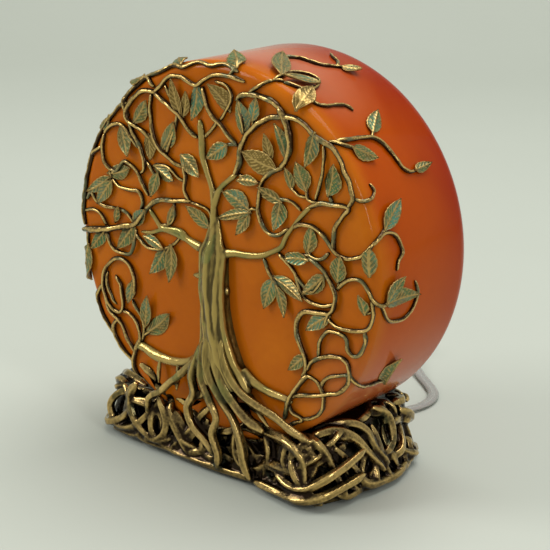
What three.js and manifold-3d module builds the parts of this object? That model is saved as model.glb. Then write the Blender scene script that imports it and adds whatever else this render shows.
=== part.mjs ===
// Table lamp: an amber glass drum stands on edge in a base of tangled roots, and a sculpted
// tree with curling vines and veined leaves grows over its face and sides.
// Millimetres, +Z up. The drum's flat face looks along -Y. The origin is on the table, below
// the middle of the lamp.
import * as THREE from 'three';
import { mergeVertices } from 'three/addons/utils/BufferGeometryUtils.js';
import Module from 'manifold-3d';

const wasm = await Module();
wasm.setup();
const { Manifold, Mesh } = wasm;

// ---- driving sizes ------------------------------------------------------------------------
const GAP = 0.3; // between neighbouring solids
const DRUM = { radius: 82.5, depth: 70, front: 4.5, back: 10.7, z: 99, wall: 3, hole: 17 };
const FOOT = { radius: 6, height: 1.2 };
const BASE_BOTTOM = FOOT.height + GAP;
const RECESS = { radius: 30, top: 8.8, channelX: 20, channelHalf: 5 };
const HOLDER = { radius: 13.5, flange: 24, bottom: 6, flangeTop: 8.5, top: 38, bore: 8.2 };
const CORD = { width: 5.5, thick: 2.7, z: 1.6 };
const SWITCH = { x: -48, y: 134, length: 48, width: 22, seam: 7, top: 15, windowX: 9.5, windowY: 5 };
const COIL = { x: -108, y: 104, inner: 21.5, outer: 38.5, bottom: 0.9, top: 9.6 };
const PLUG = { x: -80, y: 60, length: 32, width: 24, height: 13, bladeLength: 17 };
const VINE_SIDES = 4;
const SLACK = 0.08; // smallest detail that the branchwork keeps

// ---- materials ----------------------------------------------------------------------------
const finish = (color, roughness, metalness, extra = {}) =>
  new THREE.MeshStandardMaterial({ color, roughness, metalness, ...extra });
const AMBER = finish('#b85a12', 0.12, 0, { transparent: true, opacity: 0.6 });
const BARK = finish('#857443', 0.42, 0.5);
const VINE = finish('#8d8150', 0.4, 0.45);
const ROOT = finish('#6b5432', 0.38, 0.55);
const FELT = finish('#2b2622', 0.95, 0);
const CREAM = finish('#e4dcc8', 0.45, 0);
const BRASS = finish('#c9a653', 0.3, 0.9);
const STEEL = finish('#b9bcc0', 0.3, 0.9);
const BULB = finish('#f4ead2', 0.1, 0, { transparent: true, opacity: 0.5 });
const CLEAR = finish('#cfc9be', 0.2, 0, { transparent: true, opacity: 0.6 });
const IVORY = finish('#d9d4c8', 0.4, 0);
const DARK = finish('#24201d', 0.5, 0);

// ---- solids -------------------------------------------------------------------------------
function toSolid(geometry) {
  const bare = new THREE.BufferGeometry();
  bare.setAttribute('position', geometry.getAttribute('position'));
  bare.setIndex(geometry.getIndex());
  const merged = mergeVertices(bare, 1e-4);
  return new Manifold(new Mesh({
    numProp: 3,
    vertProperties: new Float32Array(merged.getAttribute('position').array),
    triVerts: new Uint32Array(merged.getIndex().array),
  }));
}

function toGeometry(solid) {
  const mesh = solid.getMesh();
  const points = new Float32Array(mesh.numVert * 3);
  for (let i = 0; i < mesh.numVert; i += 1) {
    for (let k = 0; k < 3; k += 1) points[3 * i + k] = mesh.vertProperties[i * mesh.numProp + k];
  }
  const geometry = new THREE.BufferGeometry();
  geometry.setAttribute('position', new THREE.BufferAttribute(points, 3));
  geometry.setIndex(new THREE.BufferAttribute(new Uint32Array(mesh.triVerts), 1));
  return geometry;
}

const hull = (points) => Manifold.hull(points);
const join = (solids) => Manifold.union(solids);
const box = (low, high) => hull([0, 1, 2, 3, 4, 5, 6, 7].map((i) => [
  i & 1 ? high[0] : low[0],
  i & 2 ? high[1] : low[1],
  i & 4 ? high[2] : low[2],
]));
const post = (x, y, z0, z1, radius, sides = 24) =>
  Manifold.cylinder(z1 - z0, radius, radius, sides).translate([x, y, z0]);

function turned(profile, sides) {
  const points = profile.map(([r, z]) => new THREE.Vector2(r, z));
  return toSolid(new THREE.LatheGeometry(points, sides).rotateX(Math.PI / 2));
}

function largest(solid) {
  const pieces = solid.decompose();
  return pieces.reduce((a, b) => (a.volume() >= b.volume() ? a : b));
}

// ---- the drum -----------------------------------------------------------------------------
// Half profile of the drum, grown outwards by grow, from the middle of the face to the middle
// of the back: [distance from the drum's axis, distance behind the middle plane].
function drumProfile(grow, steps) {
  const { radius, depth, front, back } = DRUM;
  const profile = [[0, -depth / 2 - grow]];
  for (let i = 0; i <= steps; i += 1) {
    const a = (Math.PI / 2) * (i / steps);
    profile.push([
      radius - front + (front + grow) * Math.sin(a),
      -depth / 2 + front - (front + grow) * Math.cos(a),
    ]);
  }
  for (let i = 0; i <= steps; i += 1) {
    const a = (Math.PI / 2) * (i / steps);
    profile.push([
      radius - back + (back + grow) * Math.cos(a),
      depth / 2 - back + (back + grow) * Math.sin(a),
    ]);
  }
  profile.push([0, depth / 2 + grow]);
  return profile;
}

// The profile turned about the drum's own axis, which lies along Y.
function drumSolid(grow, steps = 3) {
  const solid = turned(drumProfile(grow, steps), 48);
  return solid.rotate([-90, 0, 0]).translate([0, 0, DRUM.z]);
}

function shadeGlass() {
  const mouth = post(0, 0, 0, DRUM.z, DRUM.hole, 28);
  return drumSolid(0).subtract(drumSolid(-DRUM.wall)).subtract(mouth);
}

// A point on the drum for pattern coordinates x, z measured from the middle of the face. The
// distance from the middle runs on over the rounded rim and back along the side.
function onDrum(x, z, lift) {
  const far = Math.hypot(x, z) || 1e-6;
  const flat = DRUM.radius - DRUM.front;
  const arc = (DRUM.front * Math.PI) / 2;
  let r = far;
  let y = -DRUM.depth / 2 - lift;
  if (far > flat + arc) {
    r = DRUM.radius + lift;
    y = -DRUM.depth / 2 + DRUM.front + far - flat - arc;
  } else if (far > flat) {
    const a = (far - flat) / DRUM.front;
    r = flat + (DRUM.front + lift) * Math.sin(a);
    y = -DRUM.depth / 2 + DRUM.front - (DRUM.front + lift) * Math.cos(a);
  }
  return new THREE.Vector3((r * x) / far, y, DRUM.z + (r * z) / far);
}

// ---- tubes --------------------------------------------------------------------------------
// Rings of points joined by hulls. Each stop is { at, up, radius }, and up is square to the run.
function tube(stops, sides, squash = 1) {
  const rings = stops.map((stop, i) => {
    const before = stops[Math.max(i - 1, 0)].at;
    const after = stops[Math.min(i + 1, stops.length - 1)].at;
    const along = after.clone().sub(before).normalize();
    const side = along.clone().cross(stop.up).normalize();
    const up = side.clone().cross(along).normalize();
    return Array.from({ length: sides }, (_, k) => {
      const a = (2 * Math.PI * (k + 0.5)) / sides;
      const p = stop.at.clone();
      p.addScaledVector(up, stop.radius * squash * Math.cos(a));
      p.addScaledVector(side, stop.radius * Math.sin(a));
      return p.toArray();
    });
  });
  return rings.slice(1).map((ring, i) => hull([...rings[i], ...ring]));
}

// Drops the stops that a straight run between their neighbours would pass close to. Height
// above the glass is kept more closely than the line along it.
function thinned(stops, slackUp, slackSide) {
  const keep = (first, last) => {
    const a = stops[first].at;
    const along = stops[last].at.clone().sub(a);
    const length2 = along.lengthSq() || 1e-9;
    let worst = 1;
    let at = -1;
    for (let i = first + 1; i < last; i += 1) {
      const off = stops[i].at.clone().sub(a);
      off.addScaledVector(along, -off.dot(along) / length2);
      const up = off.dot(stops[i].up);
      const side = off.addScaledVector(stops[i].up, -up).length();
      const miss = Math.max(Math.abs(up) / slackUp, side / slackSide);
      if (miss > worst) {
        worst = miss;
        at = i;
      }
    }
    return at < 0 ? [last] : [...keep(first, at), ...keep(at, last)];
  };
  return [0, ...keep(0, stops.length - 1)].map((i) => stops[i]);
}

// A vine through pattern points, lying on the drum, from radius r0 to radius r1.
function vine([r0, r1, ...flat], grow) {
  const points = [];
  for (let i = 0; i < flat.length; i += 2) points.push(new THREE.Vector2(flat[i], flat[i + 1]));
  const curve = new THREE.SplineCurve(points);
  const count = Math.max(4, Math.ceil(curve.getLength() / 1.4));
  const stops = curve.getPoints(count).map((p, i) => {
    const radius = r0 + (r1 - r0) * (i / count);
    const low = onDrum(p.x, p.y, 0);
    const up = onDrum(p.x, p.y, 1).sub(low);
    return { at: low.addScaledVector(up, GAP + 0.9 * radius), up, radius: radius + grow };
  });
  const run = thinned(stops, 0.25, 0.8);
  const push = (end, next) => {
    const out = end.at.clone().sub(next.at).normalize();
    end.at.addScaledVector(out, grow);
  };
  push(run[0], run[1]);
  push(run[run.length - 1], run[run.length - 2]);
  return tube(run, VINE_SIDES);
}

// A pointed leaf from its stem end to its tip, bedded on the drum.
function leaf([x0, z0, x1, z1, width], grow) {
  const across = new THREE.Vector2(z0 - z1, x1 - x0).normalize();
  const spot = (t, s, lift) => {
    const x = x0 + (x1 - x0) * t + across.x * s;
    const z = z0 + (z1 - z0) * t + across.y * s;
    return onDrum(x, z, lift).toArray();
  };
  const half = width / 2 + grow;
  const low = GAP + 0.3 - grow;
  const over = grow / Math.hypot(x1 - x0, z1 - z0);
  const middle = [
    spot(0.45, -half, low),
    spot(0.45, half, low),
    spot(0.45, -half * 0.9, low + 0.9 + 2 * grow),
    spot(0.45, half * 0.9, low + 0.9 + 2 * grow),
    spot(0.45, 0, low + 2 + 2 * grow),
  ];
  const stem = [
    spot(-0.03 - over, -0.6 - grow, low),
    spot(-0.03 - over, 0.6 + grow, low),
    spot(0, 0, low + 1.5 + 2 * grow),
  ];
  const tip = [spot(1 + 2 * over, 0, low), spot(0.96 + over, 0, low + 0.8 + 2 * grow)];
  return [hull([...stem, ...middle]), hull([...middle, ...tip])];
}

// ---- the tree on the face -----------------------------------------------------------------
// Trunk sections: height, left edge, right edge, thickness.
const TRUNK = [
  [6, -5, 3, 5], [1, -8, 6, 6.5], [-6, -8, 6, 7], [-14, -7.6, 6.5, 7.5], [-22, -6.2, 7.2, 7.5],
  [-30, -6, 9, 8], [-38, -6.5, 12, 8], [-45, -9, 15.5, 8], [-50, -13, 20, 7.5], [-55, -12, 22, 7],
];
const TRUNK_STRANDS = [
  // broken stub and knob
  [2, 1.5, -6, -11, -10, -11, -13.5, -11.5],
  [3, 2.6, 5, -14.5, 7, -14.5],
  // right and left boughs and the leader
  [2.6, 1.3, 3, 1.5, 10, 3, 17, 3.5, 24, 5, 30, 8, 34.5, 11, 37, 16, 41, 21.5, 46, 27.5, 50, 31.5],
  [2.6, 1.4, -4, 1, -11, 2.3, -17, 3.8, -21, 6.3, -27, 6.2, -32, 6, -36, 9.5, -40, 13.5],
  [1.4, 1.2, -18, 3.8, -25, 4.8, -32, 4.8, -38, 2.5, -45, 1.5],
  [3, 1.6, -1, 4, -2, 12, -2, 20, -3, 28, -6, 35, -8.5, 42, -9.5, 50, -11, 57],
  [2, 1.5, -2, 22, 1, 29, 6, 34, 10.5, 37.5],
  // flare of the trunk's foot to both sides
  [3, 2.2, -8, -47, -15, -51.5, -24, -53.5, -34, -53.5, -43, -51.5],
  [3.2, 2, 16, -48, 23, -52, 31, -54, 39, -54.5],
  [2.6, 2, 10, -52, 17, -58, 24, -65],
  [2.4, 2, 2, -52, 6, -58, 12, -62],
  [2, 1.4, -8, -52, -7, -57, -9, -62],
];
const TREE = {
  vines_crown_left: {
    vines: [
      [1.2, 1.1, -37, 64.5, -31, 62, -26, 59.5, -21, 56.5, -17, 52.5, -12, 49],
      [1.2, 1, -37, 65, -33, 68, -28, 72.5, -21, 73.5, -13, 71.5, -8, 74.5, -2, 77, 6, 77.3, 13, 76],
      [1.3, 1.1, -36, 64.8, -43, 64.3, -49, 60.5, -53, 54.5, -52, 50.5, -47, 48.6, -42.5, 47, -39, 43.5],
      [1.1, 1, -38.5, 64, -39, 56, -37.8, 48, -35, 42.8, -30, 39.2, -25, 36.5, -19, 35],
      [1.2, 1, -52, 50, -49, 45, -46, 41.5, -43.5, 37, -42, 33, -42.5, 30, -45, 27.5],
      [0.9, 0.8, -42, 34, -38.5, 31.8, -35.5, 28.5, -33.5, 25],
      [0.9, 0.8, -38, 32, -33, 34, -27, 33.3, -23, 30, -19.5, 28.5],
      [1.1, 1, -20, 36, -18, 31, -18.5, 25, -16.5, 20.5],
      [1, 0.9, 4, 77.3, 7, 80, 7.5, 82],
    ],
    leaves: [
      [-48, 50, -40, 61, 6.5], [-31.5, 41, -24, 54, 7], [-40, 46, -38.5, 35, 7.5],
      [-20.8, 56.8, -25.5, 72, 5], [-19.8, 56.8, -17.5, 68, 5], [-12.4, 71.8, -14, 56.5, 7],
      [-21, 40, -9.5, 33, 7.5], [-36, 33, -24, 28.5, 6.5], [-34, 30, -36.5, 19.5, 6],
      [8, 81, -2.5, 91, 8],
    ],
  },
  vines_crown_top: {
    vines: [
      [1.1, 1.1, -9.5, 71, -7, 64.5, -3, 59.5, 1, 57, 5, 53.5, 10, 49],
      [0.9, 0.9, -1, 58, -3.2, 54.5, -6, 51.5, -8, 49.5],
      [0.9, 0.8, 9, 49.5, 5, 48.8, 1, 46],
      [0.9, 0.8, 0, 58, 4.5, 63, 7, 69, 3.5, 73.4, -3, 74.5],
    ],
    leaves: [[6, 63, -4.5, 73, 8], [5, 49, -5.5, 41.5, 7]],
  },
  vines_crown_right: {
    vines: [
      [1.5, 1.1, 9, 36.5, 11.5, 42, 12, 48, 15, 54, 19.5, 59, 26, 63, 32, 64.8, 39, 65.5, 45, 63.3,
        50, 60, 56, 57, 61, 53, 65, 47, 68, 41.5, 69.5, 37, 67.5, 33],
      [1.2, 1.5, 8.5, 68, 13, 70.8, 20, 71.7, 27, 70.8, 32, 68],
      [1.8, 1.3, 31, 68.6, 35, 64.5, 37.5, 59, 38, 53, 36.5, 47.5, 33, 43.5],
      [1.2, 1, 35, 45, 31, 42.5, 26.5, 39.5, 23.5, 35.5, 22.3, 30, 22.2, 24, 25, 18.5, 29, 15.6, 33,
        16, 38, 19],
      [1, 0.8, 10, 69.5, 11, 65, 12.5, 60, 13, 54],
      [0.9, 0.8, 18, 58, 19, 63],
      [1, 0.9, 15, 71.5, 20, 75, 26, 78.5],
      [0.9, 0.8, 51, 33.5, 54, 42, 55.3, 49, 54, 57],
      [0.9, 0.7, 70, 38, 73.5, 37, 77, 39, 78.5, 43, 76, 45.5],
      [1, 0.9, 60, 33.3, 58, 37],
      [0.9, 0.8, 11, 37.5, 16, 35.5, 23, 36],
      [0.9, 0.8, 54, 33, 50, 33.2, 47.5, 34.3, 46.8, 37.5],
      [0.8, 0.8, 47.3, 34, 43, 34.5, 38.5, 37],
      [0.8, 0.8, 44, 28, 40, 31, 34.5, 31, 29, 30, 22.6, 30.5],
      [1.2, 1.1, 48, 30.5, 54, 33, 60, 33.6, 68, 33.5, 65, 29.5, 62, 24, 61.3, 18, 61.5, 14],
      [1.1, 1, 40, 20, 44, 22.5, 50, 23, 55, 21, 59, 17.5, 62.5, 14.5, 68, 13.2, 74, 14.5, 77, 17.5,
        79, 21],
    ],
    leaves: [
      [18.5, 61, 21, 71, 5.5], [13, 55, 11, 68.5, 8], [31.2, 43, 14.5, 48, 10], [28, 45.5, 25.5, 57, 5],
      [36.6, 48, 31, 62, 6.5], [50, 60.8, 47, 47, 7.5], [39, 36, 37, 45, 5], [47, 37, 42, 48, 8],
      [58, 37, 60.5, 50, 8.5], [11, 35, 23, 36, 4.6], [34.5, 30, 23.6, 34.6, 5], [33.5, 30, 32.5, 18, 7.5],
      [79, 8, 78, 19.5, 5.5],
    ],
  },
  leaves_middle_right: {
    vines: [
      [0.9, 0.8, 0, 16.5, 6, 17.5, 12, 19.5, 18, 22],
      [0.9, 0.8, 17, 21.5, 18.5, 24, 21.5, 24],
    ],
    leaves: [[17, 23.5, 3.5, 29, 8], [18, 22.5, 1, 17, 4.5], [17, 22, 12, 12, 6]],
  },
  leaf_middle_left: {
    vines: [[0.8, 0.8, -1, 13, -4.5, 11, -4, 17, -8, 20, -16, 20.5]],
    leaves: [[-4.5, 11.5, -16, 19, 7]],
  },
  vines_right: {
    vines: [
      [1, 1, 33, 8, 38, 5, 42, 1, 44, -3, 46.5, -7, 51, -9, 57, -9.2, 63, -7],
      [1.1, 1, 48, 9.5, 54, 7.5, 58, 5, 61.5, 0.5, 63.5, -4, 62.8, -9.5, 59.5, -13, 57.5, -18],
      [0.9, 0.9, 48, 11, 53, 9.6, 56.5, 10.5, 59, 13.2],
      [1, 0.9, 25, 4.5, 28, 0, 31, -3.5, 34, -8],
      [1, 1, 63, -1, 66.5, 2.3, 71, 5, 75.5, 5, 78.8, 2, 80.8, -2, 84, -4.3, 88, -4],
      [1, 1, 80.3, -1, 80.5, -8, 79.5, -13, 76.5, -15.5, 70, -16.6, 64, -16.2, 59, -14],
      [1, 1, 77.5, -15, 78, -20, 76, -25, 73, -27, 70.5, -25, 69.5, -20.5, 66, -18.7, 61, -19, 57.5,
        -22.5, 56, -27, 55, -32],
      [1.4, 1.1, 61, -12, 54, -12.7, 48, -14, 44.8, -18, 44.3, -23, 47, -29, 49.3, -34, 49, -39, 47,
        -43],
      [1.1, 1.1, 49.5, -39.5, 52, -35.2, 56, -32, 61, -30, 67, -29.2, 70.3, -31.5, 70.8, -36, 69.3,
        -41, 65.5, -45, 59, -47.3, 52, -49.3, 46, -51, 41, -54],
      [1, 1, 48.5, -41.5, 54, -42.3, 57.8, -45, 59, -49.5, 57.5, -54.5, 53.5, -59, 48, -61.5],
      [1, 1, 57.5, -45, 59, -41, 62.5, -38.3, 67, -37, 71.5, -36],
      [1.3, 1.2, 50.5, -41, 47, -45, 44.7, -49, 42, -53, 40, -58, 38.5, -64],
      [1, 1, 40.5, -56, 43, -59.5, 48, -61.5, 43, -65, 38, -69],
      [1, 0.8, 70.5, -35, 73, -40, 76, -46, 80.5, -51, 85, -55, 89, -60],
      [0.9, 0.8, 83.5, -4.2, 88, -12, 94, -16, 100.5, -17, 106, -13, 108.5, -6, 106.5, 1],
      [0.9, 0.8, 42, 1, 46, -2.5, 52, -4.5, 57, 3],
      [0.9, 0.8, 38, 5, 38, 8.5, 43, 9.5, 49, 10.5, 48, 12],
      [0.8, 0.8, 64, -1.5, 64, 4],
      [0.8, 0.8, 80.6, -6.5, 77.5, -8],
    ],
    leaves: [
      [78, -8, 76, 0, 4.5], [64, 2.5, 66, 14, 8], [48, 11, 50, 23, 6.5], [49, 8.5, 38, 7, 5.5],
      [57, 3.5, 47.5, -6, 7], [31, -2.5, 48, -8.6, 6], [31, -3.5, 27, -17, 7.5], [33, -6, 38.5, -18, 5],
      [60.5, -13, 50, -21, 6.5], [49, -33, 40.5, -41, 5.5], [86, -4, 96, 6, 8], [86, -4, 106, -5, 9],
      [89, -61, 97, -42, 11],
    ],
  },
  spray_left: {
    vines: [
      [1.1, 1, -79.5, -3.8, -85, -6, -91, -4, -95.5, 1.5, -96, 8, -93, 13],
      [0.9, 0.8, -91, -4.2, -97, -9, -104, -10, -109, -6],
    ],
    leaves: [[-95.5, 4, -105.5, 13, 8], [-108, -6.5, -117, -2, 7]],
  },
  spray_right_low: {
    vines: [
      [1, 0.9, 78.5, 20, 83, 24.7, 89, 25.8, 94, 22.5, 96.3, 17.5, 94, 13, 93.3, 9],
      [0.9, 0.8, 82, 24.5, 85, 28],
    ],
    leaves: [[84.5, 27, 91.5, 41.5, 8]],
  },
  spray_right_high: {
    vines: [
      [1, 0.9, 56, 58.6, 61, 58.4, 67, 59.3],
      [1.1, 0.9, 58, 58.6, 64, 62.7, 70, 67.5, 76, 71.2, 82, 70.5, 88, 66.3, 94, 61, 99, 59.6, 103, 61.5],
      [0.9, 0.8, 75.5, 70.5, 75.2, 76],
    ],
    leaves: [[66, 59, 79, 59.3, 8], [102, 61, 110.5, 67.5, 6.5], [75.2, 74.5, 74, 90.5, 8.5]],
  },
  spray_top: {
    vines: [
      [1.1, 0.9, 26, 78.6, 27.3, 84, 25.8, 90, 22, 97],
      [0.9, 0.8, 30, 80, 37, 81, 41.5, 84, 42.5, 90, 40, 96, 34, 97.3, 28.5, 93.5, 26, 89],
      [0.9, 0.8, 40, 82.5, 41, 77, 46, 75, 50.5, 76.6, 54.5, 81.3, 58.5, 84.5, 63, 84.2],
      [0.9, 0.8, 12, 107, 18, 111.8, 26, 112.2, 33.5, 113.2, 39, 117, 42.5, 119.5],
      [0.8, 0.7, 39.5, 117.5, 36, 123.5, 30, 127.5, 25, 131],
      [0.9, 0.9, 26, 79, 30, 80.5],
    ],
    leaves: [
      [27, 84, 12, 108, 9], [42.3, 91.2, 28.5, 82.5, 8], [40.5, 68.5, 41.5, 82.5, 8],
      [42, 118.5, 53, 118.5, 6.5],
    ],
  },
  vines_left: {
    vines: [
      [1.2, 1, -66.5, 42, -62, 46.7, -57, 48, -52.5, 46, -49, 42.5, -46.5, 39],
      [1, 1, -66.5, 42, -68, 36, -67, 30.5, -64, 27, -60, 26.3, -57, 29, -54, 32, -49.5, 30.5, -45.5,
        27.3, -42.8, 23, -40.5, 18.5],
      [1.3, 1.2, -42, 12, -38.5, 15.2, -34, 17.7, -29, 18.8, -24, 19.8, -19, 20.6, -15.5, 20.4],
      [1.8, 1.3, -79, -4, -71, -2.2, -63, -0.5, -55, 2.2, -48.5, 4, -44.5, 8, -41, 12.8],
      [1, 0.9, -65.5, -1.5, -63.5, -6.5, -60, -9.6, -55, -10.5, -50.8, -9.5, -48.3, -5.5, -47.5, 2],
      [0.9, 0.9, -60, 9.5, -56, 9.2, -51.5, 7.6, -48, 4],
      [0.9, 0.9, -79.5, 4.5, -73, 6.3, -68.5, 5.2, -65, 0],
      [1, 0.9, -78, 10, -74.5, 14, -71, 10.5, -66, 9.2, -60, 9.6],
      [1, 0.9, -45, 11, -43.4, 15.5, -45.5, 19.6, -51, 19.4, -57, 19.7, -62, 22.5],
      [0.9, 0.9, -62, 22.5, -64, 27],
      [0.9, 0.8, -33, 7, -28, 8.2, -24.5, 11.5, -24.5, 16, -25.5, 19.6],
      [0.9, 0.9, -48, 0, -44, -2.5, -39, -4.5, -33, -4.2, -28.5, -2.5, -24.5, 0.5, -21, 4],
      [0.9, 0.8, -66, -1, -67.5, -5],
      [0.9, 0.8, -77, -4, -77.5, -8, -77, -12],
    ],
    leaves: [
      [-56, 47.5, -50.5, 35, 8], [-64.5, 24.5, -50, 29.5, 7], [-62, 21.5, -70, 10, 7],
      [-63, 23, -76, 14.5, 6], [-48, 4, -41, 12.5, 6], [-48.5, 4, -58, -8.5, 8], [-66.5, -2, -74, -12, 6],
      [-77, -11, -79.5, -29, 8.5], [-42.5, 0, -30, -3, 5], [-30, -3.5, -37, -15.5, 8],
      [-26, -0.8, -25, -16.5, 6], [-28, 8, -24.3, 17.5, 4.5], [-60, 3, -57, 11, 4],
    ],
  },
  vines_left_low: {
    vines: [
      [1.1, 1, -50, -30, -47.5, -25.5, -48, -20, -51, -15, -56, -13, -61.5, -15, -66, -20, -68, -26.5,
        -66.5, -33, -62, -38, -57.5, -38.3, -55.3, -34.5, -56.3, -29, -56.8, -25, -60.5, -22],
      [0.9, 0.8, -65.5, -21, -65, -28, -62.3, -33.5, -60, -35.5],
      [1.1, 1, -67, -32, -63.5, -39, -57.5, -42.5, -53.5, -47, -50.5, -52, -48, -56],
      [1, 1, -56, -37.5, -51, -37.8, -46.5, -40.8, -44.7, -45.5, -45.2, -50, -48.5, -55],
      [0.9, 0.9, -50, -31, -46, -36, -43, -40.5, -42.5, -46, -44.5, -50],
      [0.9, 0.9, -43, -46.5, -39, -43.5],
      [1.1, 1.1, -57.5, -41.5, -61.5, -46, -60, -51, -55, -56, -49.5, -60],
      [1.2, 1.2, -45.5, -49, -47.5, -55, -49, -61, -47.5, -66],
    ],
    leaves: [[-49, -22, -50, -32, 5], [-42, -42, -39, -26.5, 6], [-41, -44.5, -26.5, -32, 8]],
  },
};

function trunkBody(grow) {
  const rings = TRUNK.map(([z, left, right, thick]) => {
    const middle = (left + right) / 2;
    const half = (right - left) / 2 + grow;
    return Array.from({ length: 7 }, (_, k) => {
      const a = (Math.PI * k) / 6;
      const lift = GAP + 0.1 + (thick + grow) * Math.sin(a);
      return onDrum(middle + half * Math.cos(a), z, lift).toArray();
    });
  });
  const solids = rings.slice(1).map((ring, i) => hull([...rings[i], ...ring]));
  TRUNK_STRANDS.forEach((strand) => solids.push(...vine(strand, grow)));
  return join(solids);
}

function branchwork({ vines, leaves }, grow) {
  return join([...vines.flatMap((v) => vine(v, grow)), ...leaves.flatMap((l) => leaf(l, grow))]);
}

// ---- the root base ------------------------------------------------------------------------
const OUTLINE = [
  [-76, -26], [-70, -35], [-50, -38], [-14, -39], [34, -38], [42, -41], [53, -42.5], [61, -39],
  [66, -26], [68, -4], [67, 14], [63, 30], [56, 39], [34, 41.5], [0, 41], [-30, 42], [-56, 40],
  [-71, 33], [-78, 16], [-80, -4],
];

// Where a ray from the middle of the base, through x, y, meets the outline.
function rim(x, y) {
  for (let i = 0; i < OUTLINE.length; i += 1) {
    const [ax, ay] = OUTLINE[i];
    const [bx, by] = OUTLINE[(i + 1) % OUTLINE.length];
    const ex = bx - ax;
    const ey = by - ay;
    const down = x * ey - y * ex;
    const t = (ax * ey - ay * ex) / down;
    const s = (ax * y - ay * x) / down;
    if (t > 0 && s >= 0 && s <= 1) return [x * t, y * t];
  }
  return [x, y];
}

// A root over the outside of the base, through points x, y, z that are pressed on to its wall.
function root(r0, r1, points) {
  const curve = new THREE.CatmullRomCurve3(points.map(([x, y, z]) => {
    if (z > 33) return new THREE.Vector3(x, y, z);
    const [rx, ry] = rim(x, y);
    const inset = 1 - Math.max(0, z - 16) * 0.0022;
    return new THREE.Vector3(rx * inset, ry * inset, z);
  }));
  const count = Math.max(3, Math.round(curve.getLength() / 9));
  const stops = curve.getPoints(count).map((at, i) => ({
    at,
    up: new THREE.Vector3(at.x * 0.3, at.y, 0.001).normalize(),
    radius: r0 + (r1 - r0) * (i / count),
  }));
  return tube(stops, 5);
}

const FRONT_ROOTS = [
  [2.6, 2, [[17, -39, 37], [22, -40, 30.5], [32, -40, 27.5], [43.5, -41, 28], [51.5, -42, 25],
    [55.5, -42, 20], [55.7, -42, 10.5], [53, -42, 4]]],
  [2, 1.8, [[-2, -40, 31], [-9, -40, 22], [-2, -40, 15.5], [4, -40, 10], [5.5, -40, 4]]],
  [1.8, 1.6, [[21, -40, 29], [14, -40, 22], [14, -40, 13], [19, -40, 8], [28, -40, 9.5],
    [34, -40, 12], [43, -40, 12]]],
  [1.6, 1.6, [[31, -40, 27], [34, -40, 19], [33.5, -40, 11]]],
  [1.6, 1.6, [[43.5, -40, 27], [42, -40, 18], [48, -42, 16]]],
  [2.2, 2, [[52, -38, 33], [60, -38, 29], [64, -34, 22], [66, -30, 12], [66, -26, 4]]],
  [2.4, 2, [[55, -38, 31], [66, -29, 32], [67, -18, 27], [68, -8, 17], [68, 0, 8]]],
  [2.4, 2, [[56, -32, 36], [66, -19, 33], [67, -9, 28], [67, -3, 18], [68, 4, 10]]],
  [2.2, 2, [[62, 2, 35], [67, 11, 29], [67, 10, 18], [68, 1, 14]]],
  [2, 2, [[66, -30, 25], [68, -20, 14], [68, -12, 6], [68, 6, 4], [67, 18, 6]]],
  [2.4, 2, [[-43, -38, 40], [-42, -39, 33], [-35, -40, 30], [-27, -40, 22], [-20, -40, 12],
    [-12, -40, 4]]],
  [2, 2, [[-34, -38.5, 33], [-21, -38.5, 32.5], [-6, -38.5, 34.5], [-1, -38.5, 40]]],
  [2, 2, [[-52, -38, 30], [-64, -37, 22], [-70, -36, 13], [-62, -38, 6], [-50, -39, 8],
    [-40, -39, 17], [-38, -39, 27]]],
  [2, 2, [[-38, -40, 20], [-37, -40, 9], [-24, -40, 4], [-8, -40, 3.5], [12, -40, 3.5],
    [30, -40, 3.5], [44, -42, 3.5]]],
  [2.2, 2, [[-58, -33, 31], [-72, -27, 28], [-78, -16, 20], [-79, -6, 10], [-79, 6, 4]]],
  [2, 2, [[-76, -20, 30], [-79, 0, 28], [-79, 14, 20], [-76, 24, 10], [-70, 33, 4]]],
];
const REAR_ROOTS = [
  [2.2, 2, [[64, 24, 28], [58, 36, 20], [44, 41, 12], [26, 42, 14], [20, 42, 24], [30, 41, 31]]],
  [2, 2, [[56, 34, 31], [40, 41, 27], [30, 42, 19], [38, 41, 8], [54, 38, 4]]],
  [2, 2, [[-4, 42, 30], [-10, 42, 20], [-24, 42, 13], [-40, 41, 17], [-46, 41, 27]]],
  [2, 2, [[-2, 42, 18], [-14, 42, 8], [-32, 42, 5], [-52, 40, 10], [-62, 38, 20], [-58, 36, 30]]],
  [2, 2, [[-70, 30, 28], [-76, 20, 22], [-74, 28, 12], [-62, 38, 6]]],
];

function mound(low, high, z0, z1, shrink) {
  const inside = OUTLINE.filter(([x]) => x >= low && x <= high);
  const level = (k, z) => inside.map(([x, y]) => [x * k, y * k, z]);
  return hull([...level(0.97, z0), ...level(0.985, z0 + 5), ...level(shrink, z1)]);
}

function baseBody(trunkCutter) {
  const solids = [
    mound(-81, 70, BASE_BOTTOM, 24, 0.92),
    mound(-81, -40, BASE_BOTTOM, 31, 0.86),
    mound(30, 70, BASE_BOTTOM, 33, 0.84),
  ];
  [...FRONT_ROOTS, ...REAR_ROOTS].forEach(([r0, r1, points]) => solids.push(...root(r0, r1, points)));
  const { channelX: cx, channelHalf: ch } = RECESS;
  const cut = join([
    drumSolid(GAP),
    trunkCutter,
    post(0, 0, -1, RECESS.top, RECESS.radius, 32),
    post(0, 0, -1, 30, 19, 28),
    box([cx - ch, 0, -1], [cx + ch, 60, 9.5]),
    box([cx - ch - 3, 43.2, -1], [cx + ch + 3, 60, 14]),
    box([-120, -60, -9], [120, 60, BASE_BOTTOM]),
  ]);
  return largest(join(solids).subtract(cut).simplify(SLACK));
}

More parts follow.
